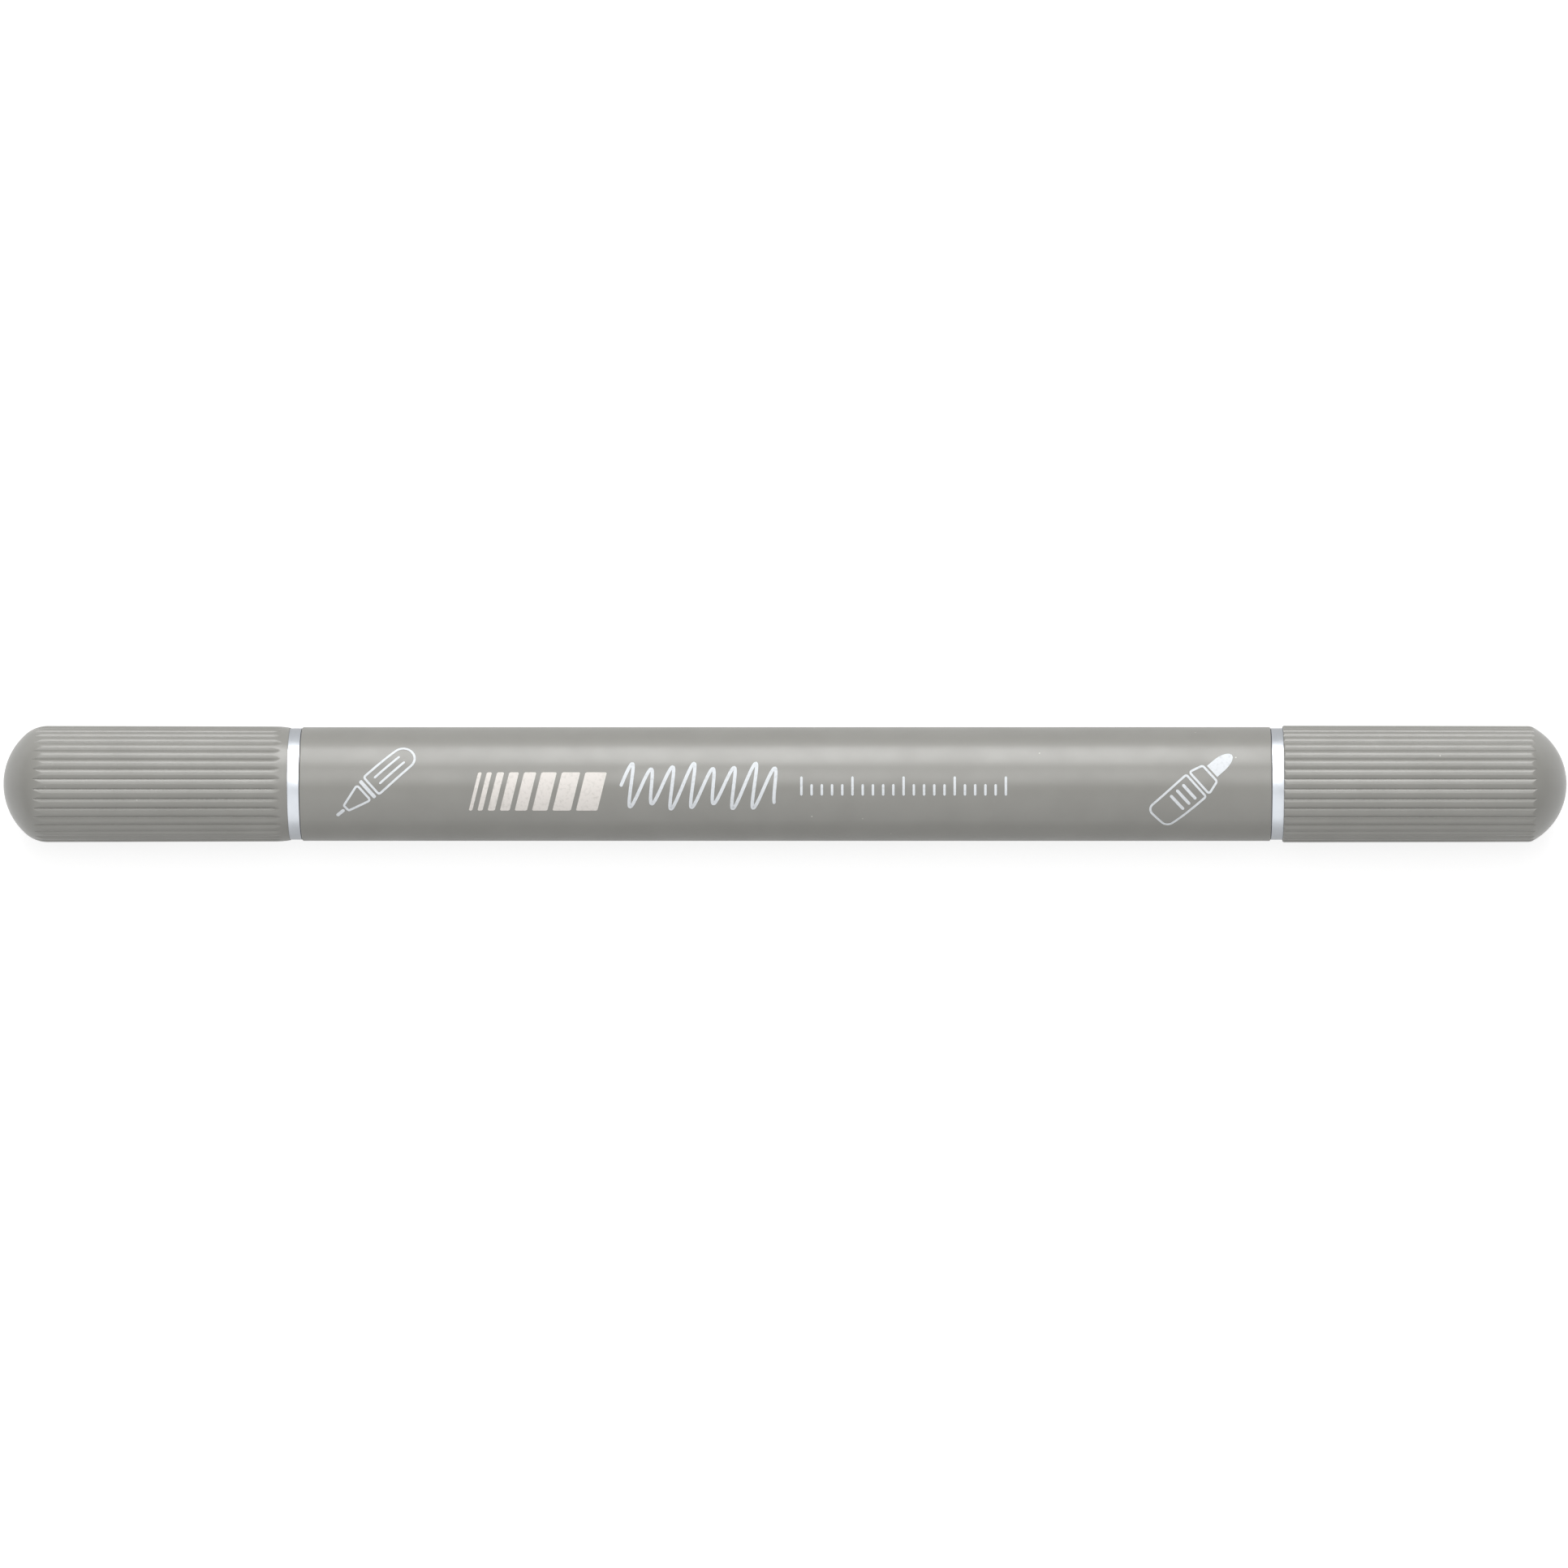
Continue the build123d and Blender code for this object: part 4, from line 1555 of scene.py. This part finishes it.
    def piece(self, name: str, strokes: Sequence[Stroke], finish: Finish) -> None:
        """Makes strokes one piece. Each has a top on the ink and a base just under the barrel's skin.

        Args:
            name: the piece's name.
            strokes: what it shows.
            finish: the ink.
        """
        points, faces, count = [], [], 0
        for stroke in strokes:
            flat = stroke.grid()
            rows, lanes = flat.shape[:2]
            top = self.wrapped(flat, self.fits.barrel + self.thickness)
            base = self.wrapped(flat[:, ::-1], self.fits.barrel - self.thickness)
            points.append(np.concatenate([top, base], axis=1).reshape(-1, 3))
            faces.append(grid_faces(rows, 2 * lanes, stroke.closed, True) + count)
            if not stroke.closed:
                for row in (0, rows - 1):
                    ring = count + row * 2 * lanes + np.arange(2 * lanes)
                    upper, lower = ring[:lanes], ring[lanes:][::-1]
                    faces.append(np.stack([upper[:-1], upper[1:], lower[1:], lower[:-1]], axis=-1))
            count += rows * 2 * lanes
        mesh = closed_mesh(name, np.concatenate(points), np.concatenate(faces), PRINT_SHARP_ANGLE)
        show(mesh, "barrel", finish)

    def build(self) -> None:
        """Builds the two signs and the marks between them."""
        fine = [stroke.moved(self.fine_centre, self.slope + math.pi) for stroke in self.fine_sign()]
        broad = [stroke.moved(self.broad_centre, self.slope) for stroke in self.broad_sign()]
        self.piece("fine_tip_sign", fine, self.finishes.cool_ink)
        self.piece("broad_tip_sign", broad, self.finishes.cool_ink)
        self.piece("width_bars", self.bars(), self.finishes.warm_ink)
        self.piece("line_scribble", self.scribble(), self.finishes.cool_ink)
        self.piece("tick_scale", self.ticks(), self.finishes.cool_ink)


# ---------------------------------------------------------------- studio


def seen(tree: bpy.types.NodeTree, mirrored: float | bpy.types.Node = 1.0) -> bpy.types.Node:
    """A value of 1 for a ray from the camera or something clear, its own for a reflection, else 0.

    Args:
        tree: the material's or world's nodes.
        mirrored: the value for a ray that comes from a reflection, or a node that gives it.

    Returns:
        The node that gives the value.
    """
    rays = {"Is Glossy Ray": "MULTIPLY", "Is Camera Ray": "MAXIMUM", "Is Transmission Ray": "MAXIMUM"}
    path, value = add_node(tree, "ShaderNodeLightPath").outputs, mirrored
    for ray, operation in rays.items():
        value = add_node(tree, "ShaderNodeMath", {0: path[ray], 1: value}, operation=operation)
    return value


@dataclass(frozen=True)
class PaleFloor(Finish):
    """Matt white paper. It is white to the eye, and only the marker's soft shadow shows on it."""

    tint: str = "B9B9B9"
    cloud: str = "B6B6B6"
    cloud_size: float = 40.0
    lift: float = 0.73
    mirrored: float = 0.5  # less lift in reflections, so that the marker mirrors its own shadow
    mirrored_ends: float = 1.4  # more of it past the marker's ends, which light the domes' rims
    ends_start: float = 0.066  # metres from the marker's middle
    ends_full: float = 0.09

    def surface(self, tree: bpy.types.NodeTree) -> bpy.types.Node:
        """A matt surface that is lifted to white for what looks at it, and not for the light it gives.

        Args:
            tree: the material's nodes.

        Returns:
            The shader.
        """
        colour = blended(tree, blotches(tree, self.cloud_size), (0.0, 1.0), (self.tint, self.cloud))
        matt = add_node(tree, "ShaderNodeBsdfDiffuse", {"Color": colour})
        where = add_node(tree, "ShaderNodeTexCoord").outputs["Object"]
        along = add_node(tree, "ShaderNodeSeparateXYZ", {"Vector": where})
        away = add_node(tree, "ShaderNodeMath", {0: along}, operation="ABSOLUTE")
        past = {"Value": away, "From Min": self.ends_start, "From Max": self.ends_full}
        share = {"To Min": self.mirrored, "To Max": self.mirrored_ends}
        mirrored = add_node(tree, "ShaderNodeMapRange", {**past, **share})
        looked = seen(tree, mirrored)
        lift = add_node(tree, "ShaderNodeMath", {0: looked, 1: self.lift}, operation="MULTIPLY")
        white = add_node(tree, "ShaderNodeEmission", {"Strength": lift})
        return add_node(tree, "ShaderNodeAddShader", {0: matt, 1: white})


@dataclass(frozen=True)
class Softbox:
    """A soft light that faces the marker from a distance, in metres.

    It leans from straight up, turned from +Y towards +X, both in degrees. Its size is the metres across
    and up its face, and a radiance of 1 is a white that is fully lit.
    """

    name: str
    lean: float
    turn: float
    size: tuple[float, float]
    radiance: float
    distance: float = 0.7

    def build(self) -> None:
        """Adds the light, out of the camera's sight. Its power is its radiance times pi times its area."""
        lamp = bpy.data.lights.new(self.name, "AREA")
        lamp.shape = "RECTANGLE"
        lamp.size, lamp.size_y = self.size
        lamp.energy = self.radiance * math.pi * self.size[0] * self.size[1]
        box = add_object(self.name, lamp)
        tilt, spin = math.radians(self.lean), math.radians(self.turn)
        ahead = Vector((math.sin(spin), math.cos(spin), 0)) * math.sin(tilt)
        box.location = self.distance * (ahead + Vector((0, 0, math.cos(tilt))))
        box.rotation_euler = (-tilt, 0, -spin)
        box.visible_camera = False


@dataclass
class Studio:
    """A pale floor, plain soft light and the camera, which looks down on the marker's printed side.

    Its sizes are metres, apart from the camera's sensor, which is in millimetres as usual.
    """

    softboxes: tuple[Softbox, ...] = (
        Softbox("key_softbox", lean=61, turn=0, size=(0.45, 0.5), radiance=4.8),
        Softbox("overhead_softbox", lean=16, turn=0, size=(0.5, 0.34), radiance=2.4),
        Softbox("fill_softbox", lean=50, turn=190, size=(1.0, 0.9), radiance=0.56),
    )
    camera_x: float = 0.017
    camera_height: float = 0.957
    seen_width: float = 0.1543
    sensor: float = 36.0
    sky: float = 0.34
    floor_half: float = 3.0

    def world(self) -> None:
        """A plain sky: white to the eye and in reflections, and at the light's own level otherwise."""
        world = bpy.data.worlds.new("plain_sky")
        bpy.context.scene.world = world
        world.use_nodes = True
        tree = world.node_tree
        tree.nodes.clear()
        strength = add_node(tree, "ShaderNodeMapRange", {"Value": seen(tree), "To Min": self.sky})
        background = add_node(tree, "ShaderNodeBackground", {"Color": linear("FFFFFF"), "Strength": strength})
        add_node(tree, "ShaderNodeOutputWorld", {"Surface": background})

    def floor(self) -> None:
        """A square floor that the marker rests on."""
        half, low = self.floor_half, CAD_BOX[0].z
        mesh = bpy.data.meshes.new("floor")
        corners = [(-half, -half, low), (half, -half, low), (half, half, low), (-half, half, low)]
        mesh.from_pydata(corners, [], [(0, 1, 2, 3)])
        mesh.materials.append(PaleFloor("white_paper_floor").material())
        ground = add_object("floor", mesh)
        ground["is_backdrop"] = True

    def camera(self) -> None:
        """The camera. Its lens is the sensor's width times the distance over the width it sees."""
        data = bpy.data.cameras.new("camera")
        place = Vector((self.camera_x, 0, self.camera_height))
        data.sensor_width = self.sensor
        data.lens = self.sensor * place.length / self.seen_width
        eye = add_object("camera", data)
        eye.location = place
        eye.rotation_euler = (0, math.atan2(self.camera_x, self.camera_height), 0)
        bpy.context.scene.camera = eye

    def build(self) -> None:
        """Builds the studio and sets the plain view."""
        self.world()
        for softbox in self.softboxes:
            softbox.build()
        self.floor()
        self.camera()
        bpy.context.scene.view_settings.view_transform = "Standard"
        log.info("studio built")


# ---------------------------------------------------------------- main


def write_sizes() -> None:
    """Works out the CAD box and the visual model's box, in metres, and keeps neither."""
    [[list(corner) for corner in box] for box in (CAD_BOX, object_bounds())]


def main() -> None:
    """Builds the marker from the inside out, then the studio."""
    logging.basicConfig(level=logging.INFO, format="%(name)s: %(message)s")
    finishes = Finishes()
    fits = Fits(node_radius("barrel_tube"))
    Barrel(fits, finishes).build()
    fine_section = Section(
        End.FINE,
        fits,
        finishes,
        land_step=1.2,
        nose_step=0.5,
        nose_length=5.6,
        mouth_wall=0.45,
        bore=0.75,
        wick_bore=1.1,
    )
    broad_section = Section(
        End.BROAD,
        fits,
        finishes,
        land_step=0.7,
        nose_step=0.4,
        nose_length=2.6,
        mouth_wall=0.7,
        bore=1.8,
        wick_bore=1.8,
        vents=Around(4, 0.5, 1.8, math.radians(45)),
    )
    for section in (fine_section, broad_section):
        section.build()
    FinePoint(finishes).build()
    FeltNib(finishes).build()
    fine_cap = Cap(
        End.FINE,
        fits,
        finishes,
        Mouth.FADED,
        mouth_proud=0.06,
        dome_proud=0.13,
        dome_depth=4.38,
        shoulder=3.3,
        land=fine_section.land,
        nose_start=fine_section.nose_start,
    )
    broad_cap = Cap(
        End.BROAD,
        fits,
        finishes,
        Mouth.OPEN,
        mouth_proud=0.14,
        dome_proud=0.1,
        dome_depth=3.78,
        shoulder=1.0,
        land=broad_section.land,
        nose_start=broad_section.nose_start,
    )
    for cap in (fine_cap, broad_cap):
        cap.build()
    Print(fits, finishes).build()
    Studio().build()
    write_sizes()


if __name__ == "__main__":
    main()
